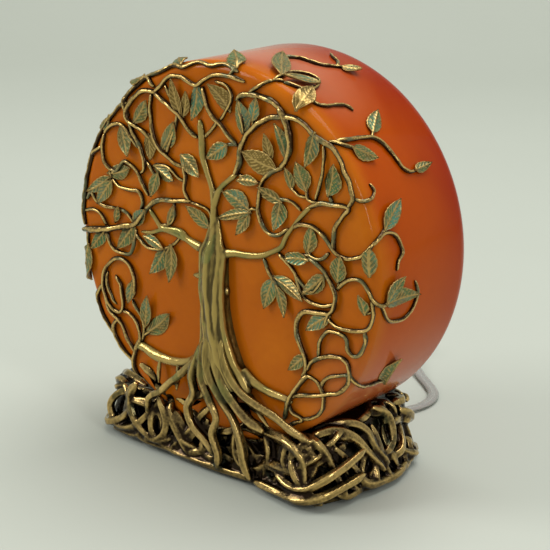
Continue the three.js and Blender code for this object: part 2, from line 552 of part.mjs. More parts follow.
// ---- lamp holder, bulb and grommet ----------------------------------------------------------
function holderBody() {
  const { radius, flange, bottom, flangeTop, top, bore } = HOLDER;
  const body = join([
    post(0, 0, bottom, top, radius, 28),
    post(0, 0, bottom, flangeTop, flange, 32),
    post(0, 0, bottom, flangeTop + 3, radius + 1.5, 28),
  ]);
  return body.subtract(post(0, 0, 13.9, top + 1, bore, 20));
}

function holderClip(side) {
  const spine = [[14.6, 12], [15.5, 15], [15.6, 18], [15, 22], [14, 27]];
  const strips = spine.slice(1).map(([r1, z1], i) => {
    const [r0, z0] = spine[i];
    const ends = [[r0, z0], [r1, z1]];
    return hull(ends.flatMap(([r, z]) => [-3, 3].flatMap((y) => [
      [side * (r - 0.25), y, z],
      [side * (r + 0.25), y, z],
    ])));
  });
  return join(strips);
}

function bulbGlass() {
  const profile = [
    [0, 36.3], [6, 36.3], [6.6, 40], [9.4, 47], [11.2, 55], [10.6, 63], [8, 71], [4.2, 78], [0, 82],
  ];
  return turned(profile, 18);
}

function grommet() {
  const { channelX: cx } = RECESS;
  return join([
    box([cx - 4.6, 36, 2.4], [cx + 4.6, 43.6, 9.1]),
    box([cx - 6.5, 43.5, 1.4], [cx + 6.5, 44.4, 11]),
    hull([
      [cx - 6.5, 43.45, 1.4], [cx + 6.5, 43.45, 1.4], [cx - 6.5, 43.45, 11], [cx + 6.5, 43.45, 11],
      [cx - 4.4, 45.4, 3], [cx + 4.4, 45.4, 3], [cx - 4.4, 45.4, 8.4], [cx + 4.4, 45.4, 8.4],
    ]),
  ]);
}

// ---- cord, switch and plug ------------------------------------------------------------------
// Free stretches of the cord on the table, as points x, y, z.
const RELIEF_ROUTE = [[20, 45.9, 5.7], [20, 52, 5.4], [20.1, 59, 4.6], [20.6, 66, 3.6]];
const LEAD_ROUTE = [
  [20.8, 67, 3.4], [21.4, 70, 2.8], [22.6, 74, 2.1], [24.2, 78.5, CORD.z], [25.8, 83, CORD.z],
  [27, 90, CORD.z], [26.2, 96.6, CORD.z], [23.4, 102.5, CORD.z], [18.5, 107.3, CORD.z],
  [10.6, 113.6, CORD.z], [2.5, 119.9, CORD.z], [-3.5, 124.6, 2.1], [-9.5, 129.3, 3.6],
  [-15.8, 132.9, 5.6], [-22.8, 134, 7],
];
const MIDDLE_ROUTE = [[-72.5, 134, 7], [-76, 134, 6.8], [-80.2, 134, 6.6]];
const TAIL_ROUTE = [
  [-104, 62, 1.8], [-99, 61.6, 2], [-94, 60.9, 3.2], [-88.5, 60.2, 5], [-84, 60, 6.2],
  [-80.3, 60, 6.5],
];

function flatCord(route) {
  const curve = new THREE.CatmullRomCurve3(route.map((p) => new THREE.Vector3(...p)));
  const count = Math.max(2, Math.round(curve.getLength() / 7));
  const stops = curve.getSpacedPoints(count).map((at) => ({
    at,
    up: new THREE.Vector3(0, 0, 1),
    radius: CORD.width / 2,
  }));
  return largest(join(tube(stops, 8, CORD.thick / CORD.width)));
}

// The tapered sleeve that guards the cord where it leaves the base.
function reliefSleeve() {
  const last = RELIEF_ROUTE.length - 1;
  const stops = RELIEF_ROUTE.map(([x, y, z], i) => ({
    at: new THREE.Vector3(x, y, z),
    up: new THREE.Vector3(0, 0, 1),
    radius: 5.2 - (1.6 * i) / last,
  }));
  return largest(join(tube(stops, 8, 0.66)));
}

function coilRing() {
  const { inner, outer, bottom, top } = COIL;
  const middle = (inner + outer) / 2;
  const wide = (outer - inner) / 2;
  const high = (top - bottom) / 2;
  const profile = Array.from({ length: 9 }, (_, k) => {
    const a = (2 * Math.PI * k) / 8 + Math.PI / 8;
    return [middle + (wide * Math.cos(a)) / 0.92388, (bottom + top) / 2 + (high * Math.sin(a)) / 0.92388];
  });
  return turned(profile, 32).translate([COIL.x, COIL.y, 0]);
}

function coilTie() {
  const { inner, outer, bottom, top } = COIL;
  const shell = (d, w) => box([inner - d, -w, bottom - d], [outer + d, w, top + d]);
  return shell(0.75, 1.8).subtract(shell(0.3, 5)).rotate([0, 0, 20]).translate([COIL.x, COIL.y, 0]);
}

function switchShell(z0, z1, chamferLow, chamferHigh) {
  const half = SWITCH.length / 2;
  const wide = SWITCH.width / 2;
  const level = (inset, z) => [
    [-half + inset, wide * 0.55], [-half + inset, -wide * 0.55], [half - inset, wide * 0.55],
    [half - inset, -wide * 0.55], [half - 9 - inset, wide - inset], [-half + 9 + inset, wide - inset],
    [half - 9 - inset, -wide + inset], [-half + 9 + inset, -wide + inset],
  ].map(([x, y]) => [x, y, z]);
  return hull([
    ...level(chamferLow, z0), ...level(0, z0 + chamferLow), ...level(0, z1 - chamferHigh),
    ...level(chamferHigh, z1),
  ]);
}

const switchPlace = (solid) => solid.translate([SWITCH.x, SWITCH.y, 0]);

function switchLower() {
  return switchPlace(switchShell(0.3, SWITCH.seam, 1.6, 0));
}

function switchUpper() {
  const { windowX: wx, windowY: wy, seam, top } = SWITCH;
  const shell = switchShell(seam + GAP, top, 0, 2.2);
  const window = box([-wx, -wy, seam - 1], [wx, wy, top + 2]);
  return switchPlace(shell.subtract(window).subtract(post(16, 0, top - 2, top + 1, 2.4, 16)));
}

function switchRocker() {
  const tilt = 7;
  const half = 8.4;
  const wide = SWITCH.windowY - 0.4;
  const outline = [[-half, 10], [half, 10], [half, 16.4], [0, 15], [-half, 16.4]];
  const slab = (list) => hull(list.flatMap(([x, z]) => [[x, -wide, z], [x, wide, z]]));
  const left = slab([outline[0], [0, 9.2], outline[3], outline[4]]);
  const right = slab([[0, 9.2], outline[1], outline[2], outline[3]]);
  const body = join([left, right]).translate([0, 0, -12]).rotate([0, -tilt, 0]).translate([0, 0, 12]);
  return switchPlace(body);
}

function plugBlade(side) {
  const x = PLUG.x + PLUG.length;
  const y = PLUG.y + side * 6.35;
  const z = PLUG.height / 2;
  return hull([
    ...[[x - 5, 3.15], [x + PLUG.bladeLength - 2, 3.15], [x + PLUG.bladeLength, 2]].flatMap(([px, h]) =>
      [-1, 1].flatMap((s) => [[px, y - 0.75, z + s * h], [px, y + 0.75, z + s * h]])),
  ]);
}

function plugBody() {
  const { x, y, length, width, height } = PLUG;
  const level = (px, w, h) => [-1, 1].flatMap((s) => [
    [px, y + s * w, height / 2 - h], [px, y + s * w, height / 2 + h],
    [px, y + s * (w - 2.5), height / 2 - h - 1.6], [px, y + s * (w - 2.5), height / 2 + h + 1.6],
  ]);
  const body = join([
    hull([...level(x, 4.6, 1.6), ...level(x + 12, 6.4, 3)]),
    hull([...level(x + 11, 6.2, 3), ...level(x + 20, width / 2, height / 2 - 1.6),
      ...level(x + length, width / 2, height / 2 - 1.6)]),
  ]);
  const slots = [-1, 1].map((s) => box(
    [x + length - 5.3, y + s * 6.35 - 1.05, height / 2 - 3.45],
    [x + length + 1, y + s * 6.35 + 1.05, height / 2 + 3.45],
  ));
  return body.subtract(join(slots));
}

// ---- assembly -----------------------------------------------------------------------------
const group = new THREE.Group();
group.name = 'tree_of_life_lamp';

function add(name, solid, material) {
  const mesh = new THREE.Mesh(toGeometry(solid), material);
  mesh.name = name;
  group.add(mesh);
  return solid;
}

const clearance = drumSolid(GAP);
add('shade_glass', shadeGlass(), AMBER);
add('tree_trunk', largest(trunkBody(0).subtract(clearance)), BARK);

let taken = trunkBody(GAP);
Object.entries(TREE).forEach(([name, part]) => {
  add(name, largest(branchwork(part, 0).subtract(join([clearance, taken])).simplify(SLACK)), VINE);
  taken = join([taken, branchwork(part, GAP)]);
});

add('root_base', baseBody(taken), ROOT);
[[-58, -22], [50, -26], [48, 28], [-58, 24]].forEach(([x, y], i) => {
  add(`foot_${i + 1}`, post(x, y, 0, FOOT.height, FOOT.radius, 18), FELT);
});
add('holder_body', holderBody(), CREAM);
add('holder_shell', post(0, 0, 17, 37, 7.9, 20).subtract(post(0, 0, 16, 38, 6.9, 20)), BRASS);
add('holder_contact', post(0, 0, 14.2, 15.6, 3, 12), BRASS);
add('holder_clip_right', holderClip(1), STEEL);
add('holder_clip_left', holderClip(-1), STEEL);
add('bulb_cap', join([post(0, 0, 18, 36, 6.5, 20), post(0, 0, 16, 18.1, 3.4, 12)]), BRASS);
add('bulb_glass', bulbGlass(), BULB);
add('cord_grommet', grommet(), DARK);
add('cord_inner', box([RECESS.channelX - 2.7, 17.2, 4.4], [RECESS.channelX + 2.7, 35.7, 7.1]), CLEAR);
add('cord_relief', reliefSleeve(), DARK);
add('cord_lead', flatCord(LEAD_ROUTE), CLEAR);
add('cord_middle', flatCord(MIDDLE_ROUTE), CLEAR);
add('cord_coil', coilRing(), CLEAR);
add('cord_tie', coilTie(), IVORY);
add('cord_tail', flatCord(TAIL_ROUTE), CLEAR);
add('switch_lower', switchLower(), IVORY);
add('switch_upper', switchUpper(), IVORY);
add('switch_rocker', switchRocker(), IVORY);
add('switch_screw', switchPlace(post(16, 0, SWITCH.top - 1.7, SWITCH.top - 0.4, 2, 14)), STEEL);
add('plug_body', plugBody(), IVORY);
add('plug_blade_left', plugBlade(-1), BRASS);
add('plug_blade_right', plugBlade(1), BRASS);

export default group;
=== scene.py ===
# Looks of a table lamp: an amber glass drum that stands on edge in a base of tangled roots, with
# a sculpted tree, curling vines and veined leaves over its face and sides.
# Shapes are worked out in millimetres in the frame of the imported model, and stored in metres.
import math

import bmesh
import bpy
import numpy as np
from mathutils import Matrix, Vector


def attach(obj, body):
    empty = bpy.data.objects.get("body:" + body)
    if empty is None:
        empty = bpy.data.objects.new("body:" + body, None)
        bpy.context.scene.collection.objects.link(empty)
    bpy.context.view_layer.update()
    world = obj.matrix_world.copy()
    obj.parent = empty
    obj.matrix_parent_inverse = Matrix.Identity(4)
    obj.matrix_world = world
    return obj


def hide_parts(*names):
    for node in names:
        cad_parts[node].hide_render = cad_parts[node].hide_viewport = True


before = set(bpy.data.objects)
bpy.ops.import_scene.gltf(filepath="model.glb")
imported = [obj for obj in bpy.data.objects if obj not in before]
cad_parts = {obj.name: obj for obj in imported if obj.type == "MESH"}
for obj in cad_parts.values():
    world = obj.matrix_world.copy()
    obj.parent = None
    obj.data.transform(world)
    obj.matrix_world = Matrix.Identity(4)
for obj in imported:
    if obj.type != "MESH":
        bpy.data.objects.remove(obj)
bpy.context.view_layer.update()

MM = 0.001
LAMP = "lamp"

# ---- sizes, in millimetres ------------------------------------------------------------------
DRUM_RADIUS, DRUM_DEPTH, DRUM_FRONT, DRUM_BACK, DRUM_Z = 82.5, 70.0, 4.5, 10.7, 99.0
DRUM_WALL = 3.0
BASE_BOTTOM = 1.5
RECESS_RADIUS, RECESS_TOP, CHANNEL_X, CHANNEL_HALF, CHANNEL_TOP = 30.0, 8.8, 20.0, 5.0, 9.5
CORD_WIDTH, CORD_THICK = 5.5, 2.7
COIL_X, COIL_Y = -108.0, 104.0
CONDUCTOR_OFFSET, CONDUCTOR_RADIUS = 1.35, 0.62
COIL_STEPS, COIL_EASE = 24, 9.0
VINE_STEP, ROOT_STEP, CORD_STEP, WANDER_STEP = 0.8, 1.1, 1.6, 1.5
TRUNK_VOXEL, ROOT_VOXEL = 0.42, 0.55
WANDERING_ROOTS, WANDERING_SEED = 95, 21
LEAF_ROWS, LEAF_COLUMNS = 30, 17

# ---- camera, in degrees and metres ----------------------------------------------------------
CAMERA_AZIMUTH, CAMERA_ELEVATION, CAMERA_ROLL = 38.9, 17.5, 1.4
CAMERA_DISTANCE, CAMERA_TARGET, CAMERA_LENS = 0.750, (0.0026, 0.0, 0.0827), 111.4


# ---- given runs -----------------------------------------------------------------------------
# TRUNK: height, left edge, right edge and thickness. Strands and vines: first and last radius, then
# pattern points x, z from the middle of the face. Leaves: stem x, z, tip x, z, width. Roots: first and
# last radius, then points x, y, z.
TRUNK = [
  [20, -3, -1, 1.8], [13, -4, 1, 3.2],
  [6, -5, 3, 5], [1, -8, 6, 6.5], [-6, -8, 6, 7], [-14, -7.6, 6.5, 7.5], [-22, -6.2, 7.2, 7.5],
  [-30, -6, 9, 8], [-38, -6.5, 12, 8], [-45, -9, 15.5, 8], [-50, -13, 20, 7.5], [-55, -12, 22, 7],
]

TRUNK_STRANDS = [
  # broken stub and knob
  [2, 1.5, -6, -11, -10, -11, -13.5, -11.5],
  [3, 2.6, 5, -14.5, 7, -14.5],
  # right and left boughs and the leader
  [2.6, 1.3, 3, 1.5, 10, 3, 17, 3.5, 24, 5, 30, 8, 34.5, 11, 37, 16, 41, 21.5, 46, 27.5, 50, 31.5],
  [2.6, 1.4, -4, 1, -11, 2.3, -17, 3.8, -21, 6.3, -27, 6.2, -32, 6, -36, 9.5, -40, 13.5],
  [1.4, 1.2, -18, 3.8, -25, 4.8, -32, 4.8, -38, 2.5, -45, 1.5],
  [3, 1.6, -1, 4, -2, 12, -2, 20, -3, 28, -6, 35, -8.5, 42, -9.5, 50, -11, 57],
  [2, 1.5, -2, 22, 1, 29, 6, 34, 10.5, 37.5],
  # flare of the trunk's foot to both sides
  [3, 2.2, -8, -47, -15, -51.5, -24, -53.5, -34, -53.5, -43, -51.5, -46.5, -53],
  [3.2, 1.7, 16, -48, 23, -52, 31, -54, 39, -54.5, 42.5, -55.5],
  [2.6, 2, 10, -52, 17, -58, 24, -65],
  [2.4, 2, 2, -52, 6, -58, 12, -62],
  [2, 1.4, -8, -52, -7, -57, -9, -62],
]

TREE = {
  "vines_crown_left": {
    "vines": [
      [1.2, 1.1, -52, 52, -54.5, 58, -49, 65, -42.5, 69.5, -37, 67],
      [1.1, 1, -48.8, 64.8, -42, 70.5, -34.5, 73.3, -27.5, 76.8, -20.5, 77.5, -13.5, 80.5, -6, 79.8, 2, 81.5,
        9, 79.6],
      [1, 0.9, -29.5, 39, -26.5, 46, -24.5, 52, -23.5, 58, -27, 64, -31, 69],
      [1.2, 1.1, -37, 64.5, -31, 62, -26, 59.5, -21, 56.5, -17, 52.5, -12, 49],
      [1.2, 1, -37, 65, -33, 68, -28, 72.5, -21, 73.5, -13, 71.5, -8, 74.5, -2, 77, 6, 77.3, 13, 76],
      [1.3, 1.1, -36, 64.8, -43, 64.3, -49, 60.5, -53, 54.5, -52, 50.5, -47, 48.6, -42.5, 47, -39, 43.5],
      [1.1, 1, -38.5, 64, -39, 56, -37.8, 48, -35, 42.8, -30, 39.2, -25, 36.5, -19, 35],
      [1.2, 1, -52, 50, -49, 45, -46, 41.5, -43.5, 37, -42, 33, -42.5, 30, -45, 27.5],
      [0.9, 0.8, -42, 34, -38.5, 31.8, -35.5, 28.5, -33.5, 25],
      [0.9, 0.8, -38, 32, -33, 34, -27, 33.3, -23, 30, -19.5, 28.5],
      [1.1, 1, -20, 36, -18, 31, -18.5, 25, -16.5, 20.5],
      [1, 0.9, 4, 77.3, 7, 80, 7.5, 82],
    ],
    "leaves": [
      [-48, 50, -40, 61, 6.5], [-31.5, 41, -24, 54, 7], [-40, 46, -38.5, 35, 7.5],
      [-20.8, 56.8, -25.5, 72, 5], [-19.8, 56.8, -17.5, 68, 5], [-12.4, 71.8, -14, 56.5, 7],
      [-21, 40, -9.5, 33, 7.5], [-36, 33, -24, 28.5, 6.5], [-34, 30, -36.5, 19.5, 6],
      [8, 81, -2.5, 91, 8], [-63.5, 49, -72, 43, 6.5], [-45, 69, -54, 67, 6], [-22, 78, -31, 82, 6.5],
    ],
  },
  "vines_crown_top": {
    "vines": [
      [1.1, 1.1, -9.5, 71, -7, 64.5, -3, 59.5, 1, 57, 5, 53.5, 10, 49],
      [0.9, 0.9, -1, 58, -3.2, 54.5, -6, 51.5, -8, 49.5],
      [0.9, 0.8, 9, 49.5, 5, 48.8, 1, 46],
      [0.9, 0.8, 0, 58, 4.5, 63, 7, 69, 3.5, 73.4, -3, 74.5],
    ],
    "leaves": [[6, 63, -4.5, 73, 8], [5, 49, -5.5, 41.5, 7]],
  },
  "vines_crown_right": {
    "vines": [
      [1.5, 1.1, 9, 36.5, 11.5, 42, 12, 48, 15, 54, 19.5, 59, 26, 63, 32, 64.8, 39, 65.5, 45, 63.3,
        50, 60, 56, 57, 61, 53, 65, 47, 68, 41.5, 69.5, 37, 67.5, 33],
      [1.2, 1.5, 8.5, 68, 13, 70.8, 20, 71.7, 27, 70.8, 32, 68],
      [1.8, 1.3, 31, 68.6, 35, 64.5, 37.5, 59, 38, 53, 36.5, 47.5, 33, 43.5],
      [1.2, 1, 35, 45, 31, 42.5, 26.5, 39.5, 23.5, 35.5, 22.3, 30, 22.2, 24, 25, 18.5, 29, 15.6, 33,
        16, 38, 19],
      [1, 0.8, 10, 69.5, 11, 65, 12.5, 60, 13, 54],
      [0.9, 0.8, 18, 58, 19, 63],
      [1, 0.9, 15, 71.5, 20, 75, 26, 78.5],
      [0.9, 0.8, 51, 33.5, 54, 42, 55.3, 49, 54, 57],
      [0.9, 0.7, 70, 38, 73.5, 37, 77, 39, 78.5, 43, 76, 45.5],
      [1, 0.9, 60, 33.3, 58, 37],
      [0.9, 0.8, 11, 37.5, 16, 35.5, 23, 36],
      [0.9, 0.8, 54, 33, 50, 33.2, 47.5, 34.3, 46.8, 37.5],
      [0.8, 0.8, 47.3, 34, 43, 34.5, 38.5, 37],
      [0.8, 0.8, 44, 28, 40, 31, 34.5, 31, 29, 30, 22.6, 30.5],
      [1.2, 1.1, 48, 30.5, 54, 33, 60, 33.6, 68, 33.5, 65, 29.5, 62, 24, 61.3, 18, 61.5, 14],
      [1.1, 1, 40, 20, 44, 22.5, 50, 23, 55, 21, 59, 17.5, 62.5, 14.5, 68, 13.2, 74, 14.5, 77, 17.5,
        79, 21],
    ],
    "leaves": [
      [18.5, 61, 21, 71, 5.5], [13, 55, 11, 68.5, 8], [31.2, 43, 14.5, 48, 10], [28, 45.5, 25.5, 57, 5],
      [36.6, 48, 31, 62, 6.5], [50, 60.8, 47, 47, 7.5], [39, 36, 37, 45, 5], [47, 37, 42, 48, 8],
      [58, 37, 60.5, 50, 8.5], [11, 35, 23, 36, 4.6], [34.5, 30, 23.6, 34.6, 5], [33.5, 30, 32.5, 18, 7.5],
      [79, 8, 78, 19.5, 5.5],
    ],
  },
  "leaves_middle_right": {
    "vines": [
      [0.9, 0.8, 0, 16.5, 6, 17.5, 12, 19.5, 18, 22],
      [0.9, 0.8, 17, 21.5, 18.5, 24, 21.5, 24],
    ],
    "leaves": [[17, 23.5, 3.5, 29, 8], [18, 22.5, 1, 17, 4.5], [17, 22, 12, 12, 6]],
  },
  "leaf_middle_left": {
    "vines": [[0.8, 0.8, -1, 13, -4.5, 11, -4, 17, -8, 20, -16, 20.5]],
    "leaves": [[-4.5, 11.5, -16, 19, 7]],
  },
  "vines_right": {
    "vines": [
      [1, 1, 33, 8, 38, 5, 42, 1, 44, -3, 46.5, -7, 51, -9, 57, -9.2, 63, -7],
      [1.1, 1, 48, 9.5, 54, 7.5, 58, 5, 61.5, 0.5, 63.5, -4, 62.8, -9.5, 59.5, -13, 57.5, -18],
      [0.9, 0.9, 48, 11, 53, 9.6, 56.5, 10.5, 59, 13.2],
      [1, 0.9, 25, 4.5, 28, 0, 31, -3.5, 34, -8],
      [1, 1, 63, -1, 66.5, 2.3, 71, 5, 75.5, 5, 78.8, 2, 80.8, -2, 84, -4.3, 88, -4],
      [1, 1, 80.3, -1, 80.5, -8, 79.5, -13, 76.5, -15.5, 70, -16.6, 64, -16.2, 59, -14],
      [1, 1, 77.5, -15, 78, -20, 76, -25, 73, -27, 70.5, -25, 69.5, -20.5, 66, -18.7, 61, -19, 57.5,
        -22.5, 56, -27, 55, -32],
      [1.4, 1.1, 61, -12, 54, -12.7, 48, -14, 44.8, -18, 44.3, -23, 47, -29, 49.3, -34, 49, -39, 47,
        -43],
      [1.1, 1.1, 49.5, -39.5, 52, -35.2, 56, -32, 61, -30, 67, -29.2, 70.3, -31.5, 70.8, -36, 69.3,
        -41, 65.5, -45, 59, -47.3, 52, -49.3, 46, -51, 41, -54],
      [1, 1, 48.5, -41.5, 54, -42.3, 57.8, -45, 59, -49.5, 57.5, -54.5, 53.5, -59, 48, -61.5],
      [1, 1, 57.5, -45, 59, -41, 62.5, -38.3, 67, -37, 71.5, -36],
      [1.3, 1.2, 50.5, -41, 47, -45, 44.7, -49, 42, -53, 40, -58, 38.5, -64],
      [1, 1, 40.5, -56, 43, -59.5, 48, -61.5, 43, -65, 38, -69],
      [1, 0.8, 70.5, -35, 73, -40, 76, -46, 80.5, -51, 85, -55, 89, -60],
      [0.9, 0.8, 83.5, -4.2, 88, -12, 94, -16, 100.5, -17, 106, -13, 108.5, -6, 106.5, 1],
      [0.9, 0.8, 42, 1, 46, -2.5, 52, -4.5, 57, 3],
      [0.9, 0.8, 38, 5, 38, 8.5, 43, 9.5, 49, 10.5, 48, 12],
      [0.8, 0.8, 64, -1.5, 64, 4],
      [0.8, 0.8, 80.6, -6.5, 77.5, -8],
    ],
    "leaves": [
      [78, -8, 76, 0, 4.5], [64, 2.5, 66, 14, 8], [48, 11, 50, 23, 6.5], [49, 8.5, 38, 7, 5.5],
      [57, 3.5, 47.5, -6, 7], [31, -2.5, 48, -8.6, 6], [31, -3.5, 27, -17, 7.5], [33, -6, 38.5, -18, 5],
      [60.5, -13, 50, -21, 6.5], [49, -33, 40.5, -41, 5.5], [86, -4, 96, 6, 8], [86, -4, 106, -5, 9],
      [89, -61, 97, -42, 11],
    ],
  },
  "spray_left": {
    "vines": [
      [1.1, 1, -79.5, -3.8, -85, -6, -91, -4, -95.5, 1.5, -96, 8, -93, 13],
      [0.9, 0.8, -91, -4.2, -97, -9, -104, -10, -109, -6],
    ],
    "leaves": [[-95.5, 4, -105.5, 13, 8], [-108, -6.5, -117, -2, 7]],
  },
  "spray_right_low": {
    "vines": [
      [1, 0.9, 78.5, 20, 83, 24.7, 89, 25.8, 94, 22.5, 96.3, 17.5, 94, 13, 93.3, 9],
      [0.9, 0.8, 82, 24.5, 85, 28],
    ],
    "leaves": [[84.5, 27, 91.5, 41.5, 8]],
  },
  "spray_right_high": {
    "vines": [
      [1, 0.9, 56, 58.6, 61, 58.4, 67, 59.3],
      [1.1, 0.9, 58, 58.6, 64, 62.7, 70, 67.5, 76, 71.2, 82, 70.5, 88, 66.3, 94, 61, 99, 59.6, 103, 61.5],
      [0.9, 0.8, 75.5, 70.5, 75.2, 76],
    ],
    "leaves": [[66, 59, 79, 59.3, 8], [102, 61, 110.5, 67.5, 6.5], [75.2, 74.5, 74, 90.5, 8.5]],
  },
  "spray_top": {
    "vines": [
      [1.1, 0.9, 26, 78.6, 27.3, 84, 25.8, 90, 22, 97],
      [0.9, 0.8, 30, 80, 37, 81, 41.5, 84, 42.5, 90, 40, 96, 34, 97.3, 28.5, 93.5, 26, 89],
      [0.9, 0.8, 40, 82.5, 41, 77, 46, 75, 50.5, 76.6, 54.5, 81.3, 58.5, 84.5, 63, 84.2],
      [0.9, 0.8, 12, 107, 18, 111.8, 26, 112.2, 33.5, 113.2, 39, 117, 42.5, 119.5],
      [0.8, 0.7, 39.5, 117.5, 36, 123.5, 30, 127.5, 25, 131],
      [0.9, 0.9, 26, 79, 30, 80.5],
    ],
    "leaves": [
      [27, 84, 12, 108, 9], [42.3, 91.2, 28.5, 82.5, 8], [40.5, 68.5, 41.5, 82.5, 8],
      [42, 118.5, 53, 118.5, 6.5],
    ],
  },
  "vines_left": {
    "vines": [
      [1.2, 1.1, -79, -2, -80.8, 5, -79.4, 12.5, -78.4, 20, -78, 27, -73.5, 32.5, -68.5, 36],
      [1.1, 1, -78.3, 21, -76.5, 28, -73.2, 35.5, -68.6, 43.2, -62.5, 50, -57, 55.8, -53, 58],
      [1.2, 1, -66.5, 42, -62, 46.7, -57, 48, -52.5, 46, -49, 42.5, -46.5, 39],
      [1, 1, -66.5, 42, -68, 36, -67, 30.5, -64, 27, -60, 26.3, -57, 29, -54, 32, -49.5, 30.5, -45.5,
        27.3, -42.8, 23, -40.5, 18.5],
      [1.3, 1.2, -42, 12, -38.5, 15.2, -34, 17.7, -29, 18.8, -24, 19.8, -19, 20.6, -15.5, 20.4],
      [1.8, 1.3, -79, -4, -71, -2.2, -63, -0.5, -55, 2.2, -48.5, 4, -44.5, 8, -41, 12.8],
      [1, 0.9, -65.5, -1.5, -63.5, -6.5, -60, -9.6, -55, -10.5, -50.8, -9.5, -48.3, -5.5, -47.5, 2],
      [0.9, 0.9, -60, 9.5, -56, 9.2, -51.5, 7.6, -48, 4],
      [0.9, 0.9, -79.5, 4.5, -73, 6.3, -68.5, 5.2, -65, 0],
      [1, 0.9, -78, 10, -74.5, 14, -71, 10.5, -66, 9.2, -60, 9.6],
      [1, 0.9, -45, 11, -43.4, 15.5, -45.5, 19.6, -51, 19.4, -57, 19.7, -62, 22.5],
      [0.9, 0.9, -62, 22.5, -64, 27],
      [0.9, 0.8, -33, 7, -28, 8.2, -24.5, 11.5, -24.5, 16, -25.5, 19.6],
      [0.9, 0.9, -48, 0, -44, -2.5, -39, -4.5, -33, -4.2, -28.5, -2.5, -24.5, 0.5, -21, 4],
      [0.9, 0.8, -66, -1, -67.5, -5],
      [0.9, 0.8, -77, -4, -77.5, -8, -77, -12],
    ],
    "leaves": [
      [-56, 47.5, -50.5, 35, 8], [-64.5, 24.5, -50, 29.5, 7], [-62, 21.5, -70, 10, 7],
      [-63, 23, -76, 14.5, 6], [-48, 4, -41, 12.5, 6], [-48.5, 4, -58, -8.5, 8], [-66.5, -2, -74, -12, 6],
      [-77, -11, -79.5, -29, 8.5], [-42.5, 0, -30, -3, 5], [-30, -3.5, -37, -15.5, 8],
      [-26, -0.8, -25, -16.5, 6], [-28, 8, -24.3, 17.5, 4.5], [-60, 3, -57, 11, 4],
    ],
  },
  "vines_left_low": {
    "vines": [
      [1.1, 1, -68, -27, -71.5, -33, -70.5, -40, -65, -46, -60.5, -50],
      [1.1, 1, -50, -30, -47.5, -25.5, -48, -20, -51, -15, -56, -13, -61.5, -15, -66, -20, -68, -26.5,
        -66.5, -33, -62, -38, -57.5, -38.3, -55.3, -34.5, -56.3, -29, -56.8, -25, -60.5, -22],
      [0.9, 0.8, -65.5, -21, -65, -28, -62.3, -33.5, -60, -35.5],
      [1.1, 1, -67, -32, -63.5, -39, -57.5, -42.5, -53.5, -47, -50.5, -52, -48, -56],
      [1, 1, -56, -37.5, -51, -37.8, -46.5, -40.8, -44.7, -45.5, -45.2, -50, -48.5, -55],
      [0.9, 0.9, -50, -31, -46, -36, -43, -40.5, -42.5, -46, -44.5, -50],
      [0.9, 0.9, -43, -46.5, -39, -43.5],
      [1.1, 1.1, -57.5, -41.5, -61.5, -46, -60, -51, -55, -56, -49.5, -60],
      [1.2, 1.2, -45.5, -49, -47.5, -55, -49, -61, -47.5, -66],
    ],
    "leaves": [[-49, -22, -50, -32, 5], [-42, -42, -39, -26.5, 6], [-41, -44.5, -26.5, -32, 8]],
  },
}

OUTLINE = [
  [-76, -26], [-70, -35], [-50, -38], [-14, -39], [34, -38], [42, -41], [53, -42.5], [61, -39],
  [66, -26], [68, -4], [67, 14], [63, 30], [56, 39], [34, 41.5], [0, 41], [-30, 42], [-56, 40],
  [-71, 33], [-78, 16], [-80, -4],
]

FRONT_ROOTS = [
  [2.6, 2, [[17, -39, 37], [22, -40, 30.5], [32, -40, 27.5], [43.5, -41, 28], [51.5, -42, 25],
    [55.5, -42, 20], [55.7, -42, 10.5], [53, -42, 4]]],
  [2, 1.8, [[-2, -40, 31], [-9, -40, 22], [-2, -40, 15.5], [4, -40, 10], [5.5, -40, 4]]],
  [1.8, 1.6, [[21, -40, 29], [14, -40, 22], [14, -40, 13], [19, -40, 8], [28, -40, 9.5],
    [34, -40, 12], [43, -40, 12]]],
  [1.6, 1.6, [[31, -40, 27], [34, -40, 19], [33.5, -40, 11]]],
  [1.6, 1.6, [[43.5, -40, 27], [42, -40, 18], [48, -42, 16]]],
  [2.2, 2, [[52, -38, 33], [60, -38, 29], [64, -34, 22], [66, -30, 12], [66, -26, 4]]],
  [2.4, 2, [[55, -38, 31], [66, -29, 32], [67, -18, 27], [68, -8, 17], [68, 0, 8]]],
  [2.4, 2, [[56, -32, 36], [66, -19, 33], [67, -9, 28], [67, -3, 18], [68, 4, 10]]],
  [2.2, 2, [[62, 2, 35], [67, 11, 29], [67, 10, 18], [68, 1, 14]]],
  [2, 2, [[66, -30, 25], [68, -20, 14], [68, -12, 6], [68, 6, 4], [67, 18, 6]]],
  [2.4, 2, [[-43, -38, 40], [-42, -39, 33], [-35, -40, 30], [-27, -40, 22], [-20, -40, 12],
    [-12, -40, 4]]],
  [2, 2, [[-34, -38.5, 33], [-21, -38.5, 32.5], [-6, -38.5, 34.5], [-1, -38.5, 40]]],
  [2, 2, [[-52, -38, 30], [-64, -37, 22], [-70, -36, 13], [-62, -38, 6], [-50, -39, 8],
    [-40, -39, 17], [-38, -39, 27]]],
  [2, 2, [[-38, -40, 20], [-37, -40, 9], [-24, -40, 4], [-8, -40, 3.5], [12, -40, 3.5],
    [30, -40, 3.5], [44, -42, 3.5]]],
  [2.2, 2, [[-58, -33, 31], [-72, -27, 28], [-78, -16, 20], [-79, -6, 10], [-79, 6, 4]]],
  [2, 2, [[-76, -20, 30], [-79, 0, 28], [-79, 14, 20], [-76, 24, 10], [-70, 33, 4]]],
]

